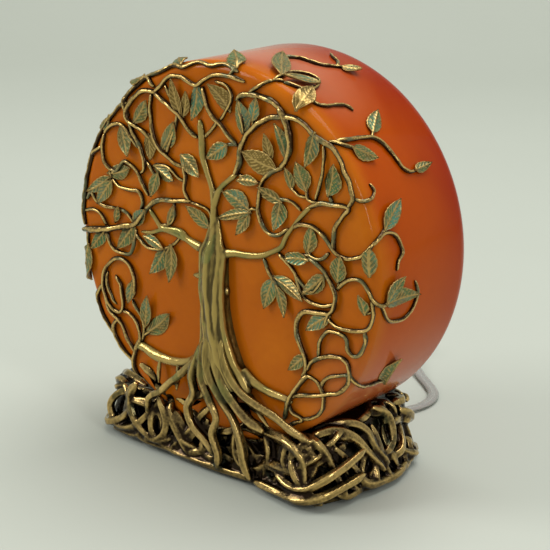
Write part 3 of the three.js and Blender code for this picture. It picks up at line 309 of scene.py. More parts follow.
REAR_ROOTS = [
  [2.2, 2, [[64, 24, 28], [58, 36, 20], [44, 41, 12], [26, 42, 14], [20, 42, 24], [30, 41, 31]]],
  [2, 2, [[56, 34, 31], [40, 41, 27], [30, 42, 19], [38, 41, 8], [54, 38, 4]]],
  [2, 2, [[-4, 42, 30], [-10, 42, 20], [-24, 42, 13], [-40, 41, 17], [-46, 41, 27]]],
  [2, 2, [[-2, 42, 18], [-14, 42, 8], [-32, 42, 5], [-52, 40, 10], [-62, 38, 20], [-58, 36, 30]]],
  [2, 2, [[-70, 30, 28], [-76, 20, 22], [-74, 28, 12], [-62, 38, 6]]],
]


# ---- camera ---------------------------------------------------------------------------------
def make_camera():
    azimuth = math.radians(CAMERA_AZIMUTH)
    elevation = math.radians(CAMERA_ELEVATION)
    roll = math.radians(CAMERA_ROLL)
    back = Vector((
        math.sin(azimuth) * math.cos(elevation),
        -math.cos(azimuth) * math.cos(elevation),
        math.sin(elevation),
    ))
    right = Vector((math.cos(azimuth), math.sin(azimuth), 0))
    up = back.cross(right)
    turned_right = right * math.cos(roll) + up * math.sin(roll)
    turned_up = up * math.cos(roll) - right * math.sin(roll)
    data = bpy.data.cameras.new("camera")
    data.lens = CAMERA_LENS
    camera = bpy.data.objects.new("camera", data)
    axes = Matrix((turned_right, turned_up, back)).transposed()
    place = Vector(CAMERA_TARGET) + back * CAMERA_DISTANCE
    camera.matrix_world = Matrix.Translation(place) @ axes.to_4x4()
    bpy.context.scene.collection.objects.link(camera)
    bpy.context.scene.camera = camera


make_camera()


# ---- curves and meshes ----------------------------------------------------------------------
def unit(v):
    return v / np.maximum(np.linalg.norm(v, axis=-1, keepdims=True), 1e-9)


def smooth_line(points, step):
    """Points about step apart on the smooth curve through the given points."""
    p = np.asarray(points, float)
    p = np.vstack([2 * p[0] - p[1], p, 2 * p[-1] - p[-2]])
    t = np.linspace(0, 1, 16, endpoint=False)[:, None]
    out = []
    for a, b, c, d in zip(p[:-3], p[1:-2], p[2:-1], p[3:]):
        out.append(0.5 * (2 * b + (c - a) * t + (2 * a - 5 * b + 4 * c - d) * t**2
                          + (3 * b - a - 3 * c + d) * t**3))
    fine = np.vstack([*out, p[-2:-1]])
    return even(fine, step)


def even(line, step):
    """The same line with its points about step apart."""
    run = np.concatenate([[0], np.cumsum(np.linalg.norm(np.diff(line, axis=0), axis=1))])
    count = max(3, int(round(run[-1] / step)) + 1)
    at = np.linspace(0, run[-1], count)
    return np.stack([np.interp(at, run, line[:, k]) for k in range(line.shape[1])], axis=1)


def wave(t, seed, low=0.5, high=2.5):
    """A smooth wandering value from about -1 to 1 along t."""
    own = np.random.default_rng(seed)
    total = np.zeros_like(t)
    for k in range(3):
        total += np.sin(t * own.uniform(low, high) * (k + 1) + own.uniform(0, 6.28)) / (k + 1)
    return total / 1.6


class Build:
    """Collects vertices, faces and named values, and turns them into one object."""

    def __init__(self):
        self.points, self.faces, self.values, self.count = [], [], {}, 0

    def add(self, points, faces, **values):
        self.points.append(points)
        self.faces.extend([tuple(i + self.count for i in f) for f in faces])
        for key, value in values.items():
            self.values.setdefault(key, []).append(np.broadcast_to(value, len(points)).astype(float))
        self.count += len(points)

    def done(self, name, surface, slot):
        mesh = bpy.data.meshes.new(name)
        mesh.from_pydata((np.vstack(self.points) * MM).tolist(), [], self.faces)
        for key, parts in self.values.items():
            layer = mesh.attributes.new(key, "FLOAT", "POINT")
            layer.data.foreach_set("value", np.concatenate(parts).astype(np.float32))
        mesh.polygons.foreach_set("use_smooth", [True] * len(mesh.polygons))
        mesh.materials.append(surface)
        piece = bpy.data.objects.new(name, mesh)
        bpy.context.scene.collection.objects.link(piece)
        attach(piece, LAMP)
        return piece


def tube_faces(rings, sides):
    faces = []
    for i in range(rings - 1):
        a, b = i * sides, (i + 1) * sides
        for k in range(sides):
            j = (k + 1) % sides
            faces.append((a + k, a + j, b + j, b + k))
    faces.append(tuple(range(sides - 1, -1, -1)))
    faces.append(tuple(range((rings - 1) * sides, rings * sides)))
    return faces


def sweep(line, up, wide, high, sides=10, lobes=0, depth=0.0, turn=0.0):
    """A closed tube along line. Returns its points, faces, and per point: the height of its
    lobes from 0 to 1, and how far it faces up, from -1 to 1."""
    line = np.asarray(line, float)
    along = unit(np.gradient(line, axis=0))
    side = unit(np.cross(along, up))
    lift = unit(np.cross(side, along))
    a = 2 * math.pi * (np.arange(sides) + 0.5) / sides
    wide = np.broadcast_to(wide, len(line))[:, None]
    high = np.broadcast_to(high, len(line))[:, None]
    spin = np.broadcast_to(turn, len(line))[:, None]
    crest = 0.5 + 0.5 * np.cos(lobes * a[None] + spin) if lobes else np.full((len(line), sides), 0.5)
    swell = 1 - depth * (1 - crest)
    across = (wide * swell * np.sin(a))[..., None] * side[:, None]
    upward = (high * swell * np.cos(a))[..., None] * lift[:, None]
    points = (line[:, None] + across + upward).reshape(-1, 3)
    facing = np.broadcast_to(np.cos(a), (len(line), sides)).reshape(-1)
    return points, tube_faces(len(line), sides), crest.reshape(-1), facing


def turned_mesh(profile, sides):
    """The profile, as [distance from the axis, height], turned about the Z axis."""
    profile = np.asarray(profile, float)
    a = 2 * math.pi * np.arange(sides) / sides
    points = np.stack([
        profile[:, None, 0] * np.cos(a),
        profile[:, None, 0] * np.sin(a),
        np.broadcast_to(profile[:, None, 1], (len(profile), sides)),
    ], axis=-1).reshape(-1, 3)
    faces = []
    for i in range(len(profile) - 1):
        for k in range(sides):
            j = (k + 1) % sides
            faces.append((i * sides + k, i * sides + j, (i + 1) * sides + j, (i + 1) * sides + k))
    return points, faces


# ---- materials ------------------------------------------------------------------------------
class Surface:
    """A node material, with short calls for the nodes that it is made of."""

    def __init__(self, name, **fixed):
        self.material = bpy.data.materials.new(name)
        self.material.use_nodes = True
        self.tree = self.material.node_tree
        self.shader = self.tree.nodes["Principled BSDF"]
        self.place = self.tree.nodes.new("ShaderNodeTexCoord").outputs["Object"]
        for key, value in fixed.items():
            self.shader.inputs[key.replace("_", " ")].default_value = value

    def put(self, socket, value):
        if isinstance(value, bpy.types.NodeSocket):
            self.tree.links.new(value, socket)
        else:
            if socket.type == "RGBA" and len(value) == 3:
                value = (*value, 1)
            socket.default_value = value

    def set(self, key, value):
        self.put(self.shader.inputs[key], value)

    def attribute(self, name):
        node = self.tree.nodes.new("ShaderNodeAttribute")
        node.attribute_name = name
        return node.outputs["Fac"]

    def split(self):
        node = self.tree.nodes.new("ShaderNodeSeparateXYZ")
        self.put(node.inputs[0], self.place)
        return node.outputs

    def noise(self, scale, detail=3.0, rough=0.55, distortion=0.0, stretch=None):
        node = self.tree.nodes.new("ShaderNodeTexNoise")
        vector = self.place
        if stretch is not None:
            shape = self.tree.nodes.new("ShaderNodeMapping")
            shape.inputs["Scale"].default_value = stretch
            self.put(shape.inputs[0], vector)
            vector = shape.outputs[0]
        self.put(node.inputs["Vector"], vector)
        node.inputs["Scale"].default_value = scale
        node.inputs["Detail"].default_value = detail
        node.inputs["Roughness"].default_value = rough
        node.inputs["Distortion"].default_value = distortion
        return node.outputs["Fac"]

    def span(self, value, low, high, out_low=0.0, out_high=1.0):
        node = self.tree.nodes.new("ShaderNodeMapRange")
        node.interpolation_type = "SMOOTHSTEP"
        for i, v in enumerate((value, low, high, out_low, out_high)):
            self.put(node.inputs[i], v)
        return node.outputs[0]

    def math(self, kind, a, b=0.0):
        node = self.tree.nodes.new("ShaderNodeMath")
        node.operation = kind
        self.put(node.inputs[0], a)
        self.put(node.inputs[1], b)
        return node.outputs[0]

    def mix(self, factor, a, b):
        node = self.tree.nodes.new("ShaderNodeMix")
        node.data_type = "RGBA"
        self.put(node.inputs[0], factor)
        self.put(node.inputs[6], a)
        self.put(node.inputs[7], b)
        return node.outputs[2]

    def shelter(self, distance):
        """1 in the open and 0 in a deep recess."""
        node = self.tree.nodes.new("ShaderNodeAmbientOcclusion")
        node.samples = 6
        node.inputs["Distance"].default_value = distance
        return node.outputs["AO"]

    def bump(self, height, strength, distance):
        node = self.tree.nodes.new("ShaderNodeBump")
        node.inputs["Strength"].default_value = strength
        node.inputs["Distance"].default_value = distance
        self.put(node.inputs["Height"], height)
        self.put(self.shader.inputs["Normal"], node.outputs[0])


def glass_surface():
    """Amber glass, orange on the face and redder towards the back, with painted light, sheen and reflection
    on its side.
    """
    s = Surface("amber_glass", Roughness=0.16, IOR=1.45, Specular_IOR_Level=0.06, Coat_Weight=0.10,
                Coat_Roughness=0.02, Subsurface_Weight=0.05, Subsurface_Scale=0.006)
    s.set("Subsurface Radius", (1.0, 0.25, 0.05))
    x, y, z = s.split()
    cloud = s.noise(16, 3, 0.5, 0.6)
    speck = s.noise(260, 2)
    wander = s.math("MULTIPLY", s.math("SUBTRACT", cloud, 0.5), 0.03)
    depth = s.math("ADD", y, wander)
    amber = s.mix(s.span(cloud, 0.35, 0.7), (0.46, 0.108, 0.0035), (0.54, 0.145, 0.005))
    # Painted light: the side and back are drawn lighter and yellower low down, where light shines through
    # the glass, and darker high up.
    side = s.mix(s.span(z, 0.03, 0.13), (0.46, 0.095, 0.012), (0.42, 0.062, 0.001))
    color = s.mix(s.span(depth, -0.034, -0.02), amber, side)
    high = s.span(z, 0.03, 0.15)
    deep = s.mix(high, (0.42, 0.060, 0.006), (0.25, 0.010, 0.001))
    color = s.mix(s.span(depth, -0.006, 0.036), color, deep)
    color = s.mix(s.span(speck, 0.2, 0.9, 0, 0.15), color, (0.30, 0.045, 0.002))
    # Painted sheen: pale pink high on the side, where the lights reflect.
    pale = s.math("MULTIPLY", s.span(z, 0.155, 0.182), s.span(depth, 0.02, -0.01, 0, 0.5))
    pale = s.math("MULTIPLY", pale, s.span(depth, -0.032, -0.014))
    # Painted reflection of the floor: pale pink low on the right side.
    low = s.math("MULTIPLY", s.span(x, 0.045, 0.08), s.span(z, 0.085, 0.04, 0, 0.4))
    color = s.mix(s.math("MAXIMUM", pale, low), color, (0.50, 0.20, 0.13))
    s.set("Base Color", color)
    s.bump(s.noise(45, 2), 0.05, 0.0006)
    return s.material


def bronze_surface(name, dark, middle, gold, patina, patina_share, metal=0.75, reach=0.004,
                   rough=(0.22, 0.42), low=0.45):
    """Cast metal with bright crests of rubbed gold and painted highlight, painted shade in its recesses and
    a green patina in patches.
    """
    s = Surface(name, IOR=1.5)
    fine = s.noise(900, 3, 0.6)
    broad = s.noise(95, 3, 0.55, 0.4)
    crest = s.attribute("crest")
    open_ = s.shelter(reach)
    # Gold on high crests: the finish's rubbed gold, and partly a painted highlight.
    high = s.math("ADD", s.math("MULTIPLY", crest, 0.75), s.math("MULTIPLY", fine, 0.4))
    color = s.mix(s.span(high, low, 0.88), middle, gold)
    green = s.math("MULTIPLY", s.span(broad, 0.62 - patina_share, 0.72 - patina_share * 0.6), 0.85)
    color = s.mix(green, color, patina)
    # Painted shade: the first colour darkens the metal where the recesses hide it from the light.
    shade = s.span(open_, 0.35, 0.95)
    s.set("Base Color", s.mix(shade, dark, color))
    s.set("Metallic", s.math("MULTIPLY", s.math("SUBTRACT", 1.0, s.math("MULTIPLY", green, 0.6)), metal))
    s.set("Roughness", s.span(fine, 0.3, 0.75, *rough))
    s.bump(fine, 0.35, 0.0002)
    return s.material


def tree_surface():
    """Olive gold bark on the trunk, which turns to dark bronze with gold crests in the roots, and painted
    shade in its recesses.
    """
    s = Surface("tree_bronze", IOR=1.5)
    z = s.split()[2]
    fine = s.noise(800, 3, 0.6)
    grain = s.noise(700, 2, 0.5, 0.3, stretch=(1, 1, 0.16))
    broad = s.noise(80, 3, 0.55, 0.4)
    crest = s.attribute("crest")
    bark = s.span(s.math("ADD", z, s.math("MULTIPLY", broad, 0.02)), 0.044, 0.062)
    # The crest value turns ridges gold: rubbed gold of the finish, and partly a painted highlight.
    low = s.math("ADD", s.math("MULTIPLY", crest, 0.8), s.math("MULTIPLY", fine, 0.3))
    high = s.math("ADD", s.math("MULTIPLY", crest, 0.55), s.math("MULTIPLY", grain, 0.55))
    root_color = s.mix(s.span(low, 0.50, 0.88), (0.020, 0.010, 0.003), (0.72, 0.49, 0.17))
    root_color = s.mix(s.span(broad, 0.60, 0.66, 0, 0.6), root_color, (0.012, 0.028, 0.013))
    bark_color = s.mix(s.span(high, 0.36, 0.78), (0.070, 0.046, 0.008), (0.39, 0.275, 0.07))
    bark_color = s.mix(s.span(broad, 0.52, 0.62, 0, 0.55), bark_color, (0.17, 0.20, 0.05))
    color = s.mix(bark, root_color, bark_color)
    # Painted shade: near-black where the recesses hide the surface from the light.
    near = s.span(s.shelter(0.007), 0.35, 0.92)
    s.set("Base Color", s.mix(near, (0.005, 0.003, 0.0015), color))
    s.set("Metallic", s.span(bark, 0, 1, 0.85, 0.55))
    s.set("Roughness", s.span(fine, 0.3, 0.75, 0.10, 0.26))
    bark_grain = s.math("MULTIPLY", grain, s.math("MULTIPLY", bark, 2.0))
    s.bump(s.math("ADD", fine, bark_grain), 0.22, 0.0003)
    return s.material


def leaf_surface():
    """Green and blue-green patina, rubbed to gold on the veins and all over a few leaves, with painted shade
    in its recesses.
    """
    s = Surface("leaf_patina", IOR=1.5)
    fine = s.noise(700, 3, 0.6)
    broad = s.noise(150, 3, 0.6)
    wide = s.noise(70, 2)
    vein = s.attribute("vein")
    patina = s.attribute("patina")
    open_ = s.shelter(0.003)
    green = s.mix(s.span(broad, 0.35, 0.6), (0.085, 0.085, 0.020), (0.07, 0.17, 0.055))
    green = s.mix(s.span(wide, 0.48, 0.7, 0, 0.8), green, (0.075, 0.27, 0.19))
    green = s.mix(s.span(fine, 0.5, 0.72, 0, 0.7), green, (0.36, 0.36, 0.18))
    gold = s.mix(fine, (0.30, 0.18, 0.045), (0.66, 0.46, 0.16))
    gold = s.mix(s.span(vein, 0.05, 0.55), (0.21, 0.13, 0.03), gold)
    rub = s.math("SUBTRACT", 1.0, s.span(vein, 0.05, 0.55, 0, 0.95))
    cover = s.math("MULTIPLY", s.math("MULTIPLY", patina, rub), s.span(broad, 0.2, 0.5, 0.6, 1))
    color = s.mix(cover, gold, green)
    # Painted shade: dark where the recesses hide the leaf from the light.
    s.set("Base Color", s.mix(s.span(open_, 0.25, 0.85), (0.02, 0.012, 0.004), color))
    s.set("Metallic", s.math("SUBTRACT", 0.8, s.math("MULTIPLY", cover, 0.5)))
    s.set("Roughness", s.span(fine, 0.3, 0.75, 0.25, 0.45))
    s.bump(fine, 0.3, 0.00015)
    return s.material


def plain_surface(name, color, rough, scale=500, vary=0.12, bump=0.12, metal=0.0, **fixed):
    """Moulded or turned material with a slight change of tone, painted shade in its recesses and a fine
    texture.
    """
    s = Surface(name, Metallic=metal, **fixed)
    fine = s.noise(scale, 3)
    cloud = s.noise(scale / 12, 2)
    darker = tuple(c * (1 - vary) for c in color)
    tone = s.mix(s.span(cloud, 0.3, 0.7), darker, color)
    # Painted shade: half as bright where the recesses hide the surface from the light.
    tone_and_painted_shade = s.mix(s.shelter(0.003), tuple(c * 0.5 for c in color), tone)
    s.set("Base Color", tone_and_painted_shade)
    s.set("Roughness", s.span(fine, 0.3, 0.7, rough * 0.85, min(1, rough * 1.15)))
    s.bump(fine, bump, 0.0001)
    return s.material


GLASS = glass_surface()
# The stems' first colour is their painted shade, and their gold is partly a painted highlight.
VINE = bronze_surface("vine_bronze", (0.008, 0.004, 0.001), (0.055, 0.028, 0.008), (0.66, 0.44, 0.14),
                      (0.10, 0.11, 0.045), 0.08, low=0.56, rough=(0.15, 0.32))
TREE_BRONZE = tree_surface()
LEAF = leaf_surface()
FELT = plain_surface("felt", (0.03, 0.026, 0.022), 0.95, scale=2500, bump=0.6)
CREAM = plain_surface("cream_plastic", (0.72, 0.66, 0.52), 0.42)
BRASS = plain_surface("brass", (0.62, 0.44, 0.16), 0.28, metal=1.0)
STEEL = plain_surface("steel", (0.58, 0.58, 0.58), 0.3, metal=1.0)
IVORY = plain_surface("ivory_plastic", (0.72, 0.69, 0.60), 0.38)
RUBBER = plain_surface("dark_rubber", (0.03, 0.027, 0.025), 0.6, bump=0.25)
BULB = plain_surface("bulb_frost", (0.85, 0.83, 0.76), 0.22, Transmission_Weight=0.35)
COPPER = plain_surface("copper_strands", (0.50, 0.33, 0.22), 0.35, scale=1500, metal=0.8, bump=0.4)
FLEX = plain_surface("clear_flex", (0.93, 0.91, 0.85), 0.16, vary=0.04, Transmission_Weight=0.70,
                     IOR=1.42)


# ---- cord -----------------------------------------------------------------------------------
# The flex from the sleeve to the switch, through the switch to the coil, and on to the plug.
LEAD_ROUTE = [
    (20.8, 67, 3.4), (21.6, 70, 2.8), (22.9, 74, 2.1), (24.4, 79, 1.7), (25.8, 86, 1.6),
    (25.6, 92.7, 1.6), (23.8, 99, 1.6), (20.4, 104.8, 1.6), (15.7, 109.5, 1.6), (9.2, 114.7, 1.6),
    (2.5, 119.9, 1.7), (-3.5, 124.6, 2.4), (-8.4, 128.4, 3.5), (-13.8, 131.6, 4.9),
    (-20, 133.5, 6.3), (-26, 134, 7), (-31, 134, 7),
]
MIDDLE_ROUTE = [
    (-37, 134, 7), (-48, 134, 7), (-62, 134, 7), (-72.5, 134, 7), (-80.2, 134, 7), (-94, 134, 7.4),
]
TAIL_ROUTE = [(-101.5, 67.2, 7.4), (-94.5, 63.8, 7.0), (-87, 61.0, 6.6), (-80.3, 60, 6.5)]
COIL_COLUMNS = {"inner": 24.4, "middle": 30.0, "outer": 35.6}
COIL_LAYERS = {"bottom": 1.9, "mid": 4.75, "top": 7.6}
COIL_ORDER = [
    ("middle", "top"), ("inner", "top"), ("inner", "mid"), ("inner", "bottom"),
    ("middle", "bottom"), ("outer", "bottom"), ("outer", "mid"), ("middle", "mid"), ("outer", "top"),
]


def coil_route():
    """Turn after turn of the coil, each easing over from the column and layer before it."""
    points = []
    for turn, (column, layer) in enumerate(COIL_ORDER):
        before = COIL_ORDER[max(turn - 1, 0)]
        last = turn == len(COIL_ORDER) - 1
        for k in range(COIL_STEPS // 2 if last else COIL_STEPS):
            share = min(1.0, k / COIL_EASE)
            ease = share * share * (3 - 2 * share)
            r = COIL_COLUMNS[before[0]] * (1 - ease) + COIL_COLUMNS[column] * ease
            z = COIL_LAYERS[before[1]] * (1 - ease) + COIL_LAYERS[layer] * ease
            a = math.radians(90 + 360 / COIL_STEPS * k)
            points.append((COIL_X + r * math.cos(a), COIL_Y + r * math.sin(a), z))
    r = COIL_COLUMNS["outer"]
    points.append((COIL_X, COIL_Y - r, COIL_LAYERS["top"]))
    return points


def make_cord():
    """The clear sheath, and the two bundles of copper strands that show through it."""
    route = [*LEAD_ROUTE, *MIDDLE_ROUTE, *coil_route(), *TAIL_ROUTE]
    line = smooth_line(route, CORD_STEP)
    up = np.tile([0.0, 0.0, 1.0], (len(line), 1))
    sheath = Build()
    points, faces, _, _ = sweep(line, up, CORD_WIDTH / 2, CORD_THICK / 2, sides=14, lobes=2,
                                depth=0.16, turn=math.pi)
    sheath.add(points, faces)
    cord = sheath.done("cord_flex", FLEX, "clear_flex")
    wires = Build()
    side = unit(np.cross(unit(np.gradient(line, axis=0)), up))
    for offset in (-CONDUCTOR_OFFSET, CONDUCTOR_OFFSET):
        points, faces, _, _ = sweep(line + side * offset, up, CONDUCTOR_RADIUS, CONDUCTOR_RADIUS, sides=6)
        wires.add(points, faces)
    strands = wires.done("cord_conductors", COPPER, "clear_flex")
    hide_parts("cord_inner", "cord_lead", "cord_middle", "cord_coil", "cord_tail")
    return cord, strands, line


cord, conductors, cord_line = make_cord()


# ---- floor and light ------------------------------------------------------------------------
def make_stage():
    """A pale floor that curves up behind the lamp, square to the camera."""
    s = Surface("paper", Roughness=0.8)
    s.set("Base Color", s.mix(s.noise(6, 2), (0.48, 0.505, 0.438), (0.50, 0.525, 0.458)))
    s.bump(s.noise(900, 2), 0.05, 0.0001)
    points, faces = [], []
    steps = [(-1.2, 0.0), (0.9, 0.0)]
    for k in range(1, 13):
        a = math.pi / 2 * k / 12
        steps.append((0.9 + 0.5 * math.sin(a), 0.5 * (1 - math.cos(a))))
    steps.append((1.4, 2.4))
    azimuth = math.radians(CAMERA_AZIMUTH)
    ahead = np.array([-math.sin(azimuth), math.cos(azimuth), 0])
    aside = np.array([math.cos(azimuth), math.sin(azimuth), 0])
    for d, z in steps:
        for w in (-2.2, 2.2):
            points.append(ahead * d + aside * w + np.array([0, 0, z]))
    for i in range(len(steps) - 1):
        faces.append((2 * i, 2 * i + 1, 2 * i + 3, 2 * i + 2))
    mesh = bpy.data.meshes.new("backdrop")
    mesh.from_pydata([tuple(p) for p in points], [], faces)
    mesh.polygons.foreach_set("use_smooth", [True] * len(faces))
    mesh.materials.append(s.material)
    backdrop = bpy.data.objects.new("backdrop", mesh)
    bpy.context.scene.collection.objects.link(backdrop)


def area_light(name, place, target, size, power):
    data = bpy.data.lights.new(name, "AREA")
    data.shape = "RECTANGLE"
    data.size, data.size_y = size
    data.energy = power
    lamp = bpy.data.objects.new(name, data)
    place, target = Vector(place), Vector(target)
    turn = (place - target).to_track_quat("Z", "Y").to_matrix().to_4x4()
    lamp.matrix_world = Matrix.Translation(place) @ turn
    bpy.context.scene.collection.objects.link(lamp)


def make_light():
    world = bpy.data.worlds.new("studio")
    world.use_nodes = True
    world.node_tree.nodes["Background"].inputs[0].default_value = (0.97, 1.0, 0.98, 1)
    world.node_tree.nodes["Background"].inputs[1].default_value = 0.52
    bpy.context.scene.world = world
    area_light("softbox_left", (-0.8, -0.8, 0.8), (0, 0, 0.08), (0.5, 0.5), 7.0)
    area_light("softbox_top", (0.1, 0.4, 1.5), (0, 0.1, 0.08), (1.1, 1.1), 17.0)
    area_light("softbox_right", (1.0, -0.35, 0.6), (0, 0, 0.09), (0.12, 0.5), 2.2)
    bpy.context.scene.view_settings.view_transform = "Standard"


make_stage()
make_light()

# ---- drum -----------------------------------------------------------------------------------
def drum_profile(grow, steps):
    """Half the drum's section from the middle of its face to the middle of its back."""
    r, half = DRUM_RADIUS, DRUM_DEPTH / 2
    turn = np.linspace(0, math.pi / 2, steps)
    front = [(r - DRUM_FRONT + (DRUM_FRONT + grow) * math.sin(a),
              -half + DRUM_FRONT - (DRUM_FRONT + grow) * math.cos(a)) for a in turn]
    back = [(r - DRUM_BACK + (DRUM_BACK + grow) * math.cos(a),
             half - DRUM_BACK + (DRUM_BACK + grow) * math.sin(a)) for a in turn]
    face = [(q, -half - grow) for q in (0.01, 20, 40, 60, 72)]
    rear = [(q, half + grow) for q in (66, 50, 30, 0.01)]
    return [*face, *front, *back, *rear]


def make_drum():
    """A hollow drum of glass, closed all round."""
    build = Build()
    outer, faces = turned_mesh(drum_profile(0, 10), 128)
    build.add(outer, faces)
    inner, faces = turned_mesh(drum_profile(-DRUM_WALL, 6), 96)
    build.add(inner, [f[::-1] for f in faces])
    drum = build.done("drum_glass", GLASS, "amber_glass")
    mesh = drum.data
    mesh.transform(Matrix.Translation((0, 0, DRUM_Z * MM)) @ Matrix.Rotation(math.radians(-90), 4, "X"))
    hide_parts("shade_glass")


make_drum()


# ---- on the drum ----------------------------------------------------------------------------
def on_drum(flat, lift):
    """Places pattern points x, z, measured from the middle of the face, on the drum. Away from
    the middle they run on over the rounded rim and back along the side."""
    flat = np.asarray(flat, float)
    x, z = flat[..., 0], flat[..., 1]
    lift = np.broadcast_to(lift, x.shape)
    far = np.maximum(np.hypot(x, z), 1e-6)
    level = DRUM_RADIUS - DRUM_FRONT
    arc = DRUM_FRONT * math.pi / 2
    a = np.clip((far - level) / DRUM_FRONT, 0, math.pi / 2)
    beyond = np.maximum(far - level - arc, 0)
    r = np.where(far > level, level + (DRUM_FRONT + lift) * np.sin(a), far)
    y = -DRUM_DEPTH / 2 + DRUM_FRONT - (DRUM_FRONT + lift) * np.cos(a) + beyond
    return np.stack([r * x / far, y, DRUM_Z + r * z / far], axis=-1)


def drum_up(flat):
    """The way out from the glass at each pattern point."""
    return unit(on_drum(flat, 1.0) - on_drum(flat, 0.0))


# ---- vines and leaves -----------------------------------------------------------------------
def add_vine(build, row, seed):
    """A thin lobed stem that wavers along its run and lifts a little off the glass."""
    r0, r1, *flat = row
    line = smooth_line(np.array(flat, float).reshape(-1, 2), VINE_STEP)
    n = len(line)
    t = np.linspace(0, 1, n)
    run = np.arange(n) * VINE_STEP
    radius = (r0 + (r1 - r0) * t) * (1 + 0.10 * wave(run, seed, 0.25, 0.9))
    ends = np.minimum(run, run[::-1])
    radius = radius * (0.55 + 0.45 * np.clip(ends / 2.0, 0, 1) ** 0.6)
    rise = 0.55 * (1 + wave(run, seed + 500, 0.05, 0.16)) * np.clip(ends / 6, 0, 1)
    rise = rise * np.interp(np.hypot(line[:, 0], line[:, 1]), [74, 78], [1.0, 0.15])
    sway = 0.25 * wave(run, seed + 900, 0.15, 0.4)
    along = unit(np.gradient(line, axis=0))
    line = line + np.stack([-along[:, 1], along[:, 0]], axis=1) * sway[:, None]
    up = drum_up(line)
    at = on_drum(line, 0.72 * radius + rise)
    points, faces, crest, facing = sweep(at, up, radius, radius, sides=12, lobes=3, depth=0.13,
                                         turn=0.25 * run + seed)
    # Painted highlight: the crest value is raised on the side of each stem that faces away from the glass,
    # which leaves painted shade on its flanks; the lobes add their real ridges.
    build.add(points, faces, crest=np.clip(0.3 * crest + 1.1 * np.clip(facing - 0.35, 0, 1), 0, 1))


# Middles of the leaves that are gold all over.
GOLD_LEAVES = [(22, 48), (-38, 40), (-22, 66), (0, 68), (40, 76), (26.5, 51), (-33, 15)]


def leaf_relief(t, s, half, length):
    """Side veins, midrib and raised edge of a leaf, each from 0 to 1."""
    away = np.abs(s) * half
    slant = t * length / 2.3 - away * 0.62
    vein = np.clip(np.cos(2 * math.pi * slant), 0, 1) ** 5 * (np.abs(s) < 0.93) * (t > 0.06)
    rib = np.exp(-(away / 0.36) ** 2)
    edge = np.clip((np.abs(s) - 0.86) / 0.14, 0, 1) * np.ones_like(t)
    return vein, rib, edge


def leaf_faces():
    """Faces of a closed blade: its upper side, its under side and the strip between them."""
    rows, columns = LEAF_ROWS, LEAF_COLUMNS
    n = rows * columns
    faces = []
    for i in range(rows - 1):
        for k in range(columns - 1):
            a, b = i * columns + k, (i + 1) * columns + k
            faces.append((a, a + 1, b + 1, b))
            faces.append((n + a, n + b, n + b + 1, n + a + 1))
    ring = [i * columns for i in range(rows)]
    ring += [(rows - 1) * columns + k for k in range(1, columns)]
    ring += [i * columns + columns - 1 for i in range(rows - 2, -1, -1)]
    ring += list(range(columns - 2, 0, -1))
    for a, b in zip(ring, ring[1:] + ring[:1]):
        faces.append((a, b, n + b, n + a))
    return faces


def add_leaf(build, row, seed):
    """A pointed leaf with a midrib, side veins and a raised edge, as a closed thin blade."""
    own = np.random.default_rng(seed)
    x0, z0, x1, z1, width = row
    start, tip = np.array([x0, z0], float), np.array([x1, z1], float)
    length = float(np.linalg.norm(tip - start))
    ahead = (tip - start) / length
    across = np.array([-ahead[1], ahead[0]])
    t = np.linspace(-0.04, 1.02, LEAF_ROWS)[:, None]
    s = np.linspace(-1, 1, LEAF_COLUMNS)[None]
    tt = np.clip(t, 0, 1)
    half = width / 2 * np.sin(math.pi * tt ** 0.86) ** 0.82 * (1.06 - 0.12 * tt)
    half = np.maximum(half, 0.42 * (1 - tt) + 0.12)
    ragged = 1 + 0.035 * np.sin(t * length * 2.6 + own.uniform(0, 6)) * (np.abs(s) > 0.9)
    bend = own.uniform(-0.05, 0.05) * length * np.sin(math.pi * tt)
    flat = start + ahead * (t * length)[..., None] + across * (s * half * ragged + bend)[..., None]
    fold = own.uniform(-0.30, 0.34)
    tilt = own.uniform(-0.16, 0.16)
    climb = own.uniform(0.3, 2.2)
    base = own.uniform(1.0, 1.9)
    vein, rib, edge = leaf_relief(tt, s, half, length)
    away = np.abs(s) * half
    quilt = 0.10 * np.sin(math.pi * np.abs(s))
    top = (base + climb * tt**1.7 + fold * away - 0.05 * away**2 + tilt * s * half
           + 0.34 * rib + 0.28 * vein + 0.22 * edge - 1.8 * quilt)
    top = np.maximum(top, 0.35)
    thick = 0.55 + 0.45 * (1 - np.abs(s)) * np.ones_like(t)
    under = np.maximum(top - thick, 0.05 - 0.2 * (np.abs(s) < 1))
    flat = flat.reshape(-1, 2)
    upper = on_drum(flat, top.reshape(-1))
    lower = on_drum(flat, under.reshape(-1))
    middle = (start + tip) / 2
    golden = min(math.dist(middle, g) for g in GOLD_LEAVES) < 5
    shown = np.clip(vein + rib + 1.2 * edge, 0, 1).reshape(-1)
    patina = 0.05 if golden else own.uniform(0.6, 1.0)
    build.add(np.vstack([upper, lower]), leaf_faces(), patina=patina,
              vein=np.concatenate([shown, np.ones(len(lower))]))


def make_branchwork():
    """The stems and the leaves of each part of the branchwork, as two pieces."""
    seed = 100
    for name, part in TREE.items():
        vines, leaves = Build(), Build()
        for row in part["vines"]:
            seed += 1
            add_vine(vines, row, seed)
        for row in part["leaves"]:
            seed += 1
            add_leaf(leaves, row, seed)
        stems = vines.done(f"stems_{name}", VINE, "vine")
        blades = leaves.done(f"blades_{name}", LEAF, "vine")
        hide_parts(name)
        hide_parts(name)


# ---- remeshing ------------------------------------------------------------------------------
def apply_modifiers(piece):
    graph = bpy.context.evaluated_depsgraph_get()
    mesh = bpy.data.meshes.new_from_object(piece.evaluated_get(graph))
    old = piece.data
    piece.modifiers.clear()
    piece.data = mesh
    bpy.data.meshes.remove(old)
    mesh.polygons.foreach_set("use_smooth", [True] * len(mesh.polygons))


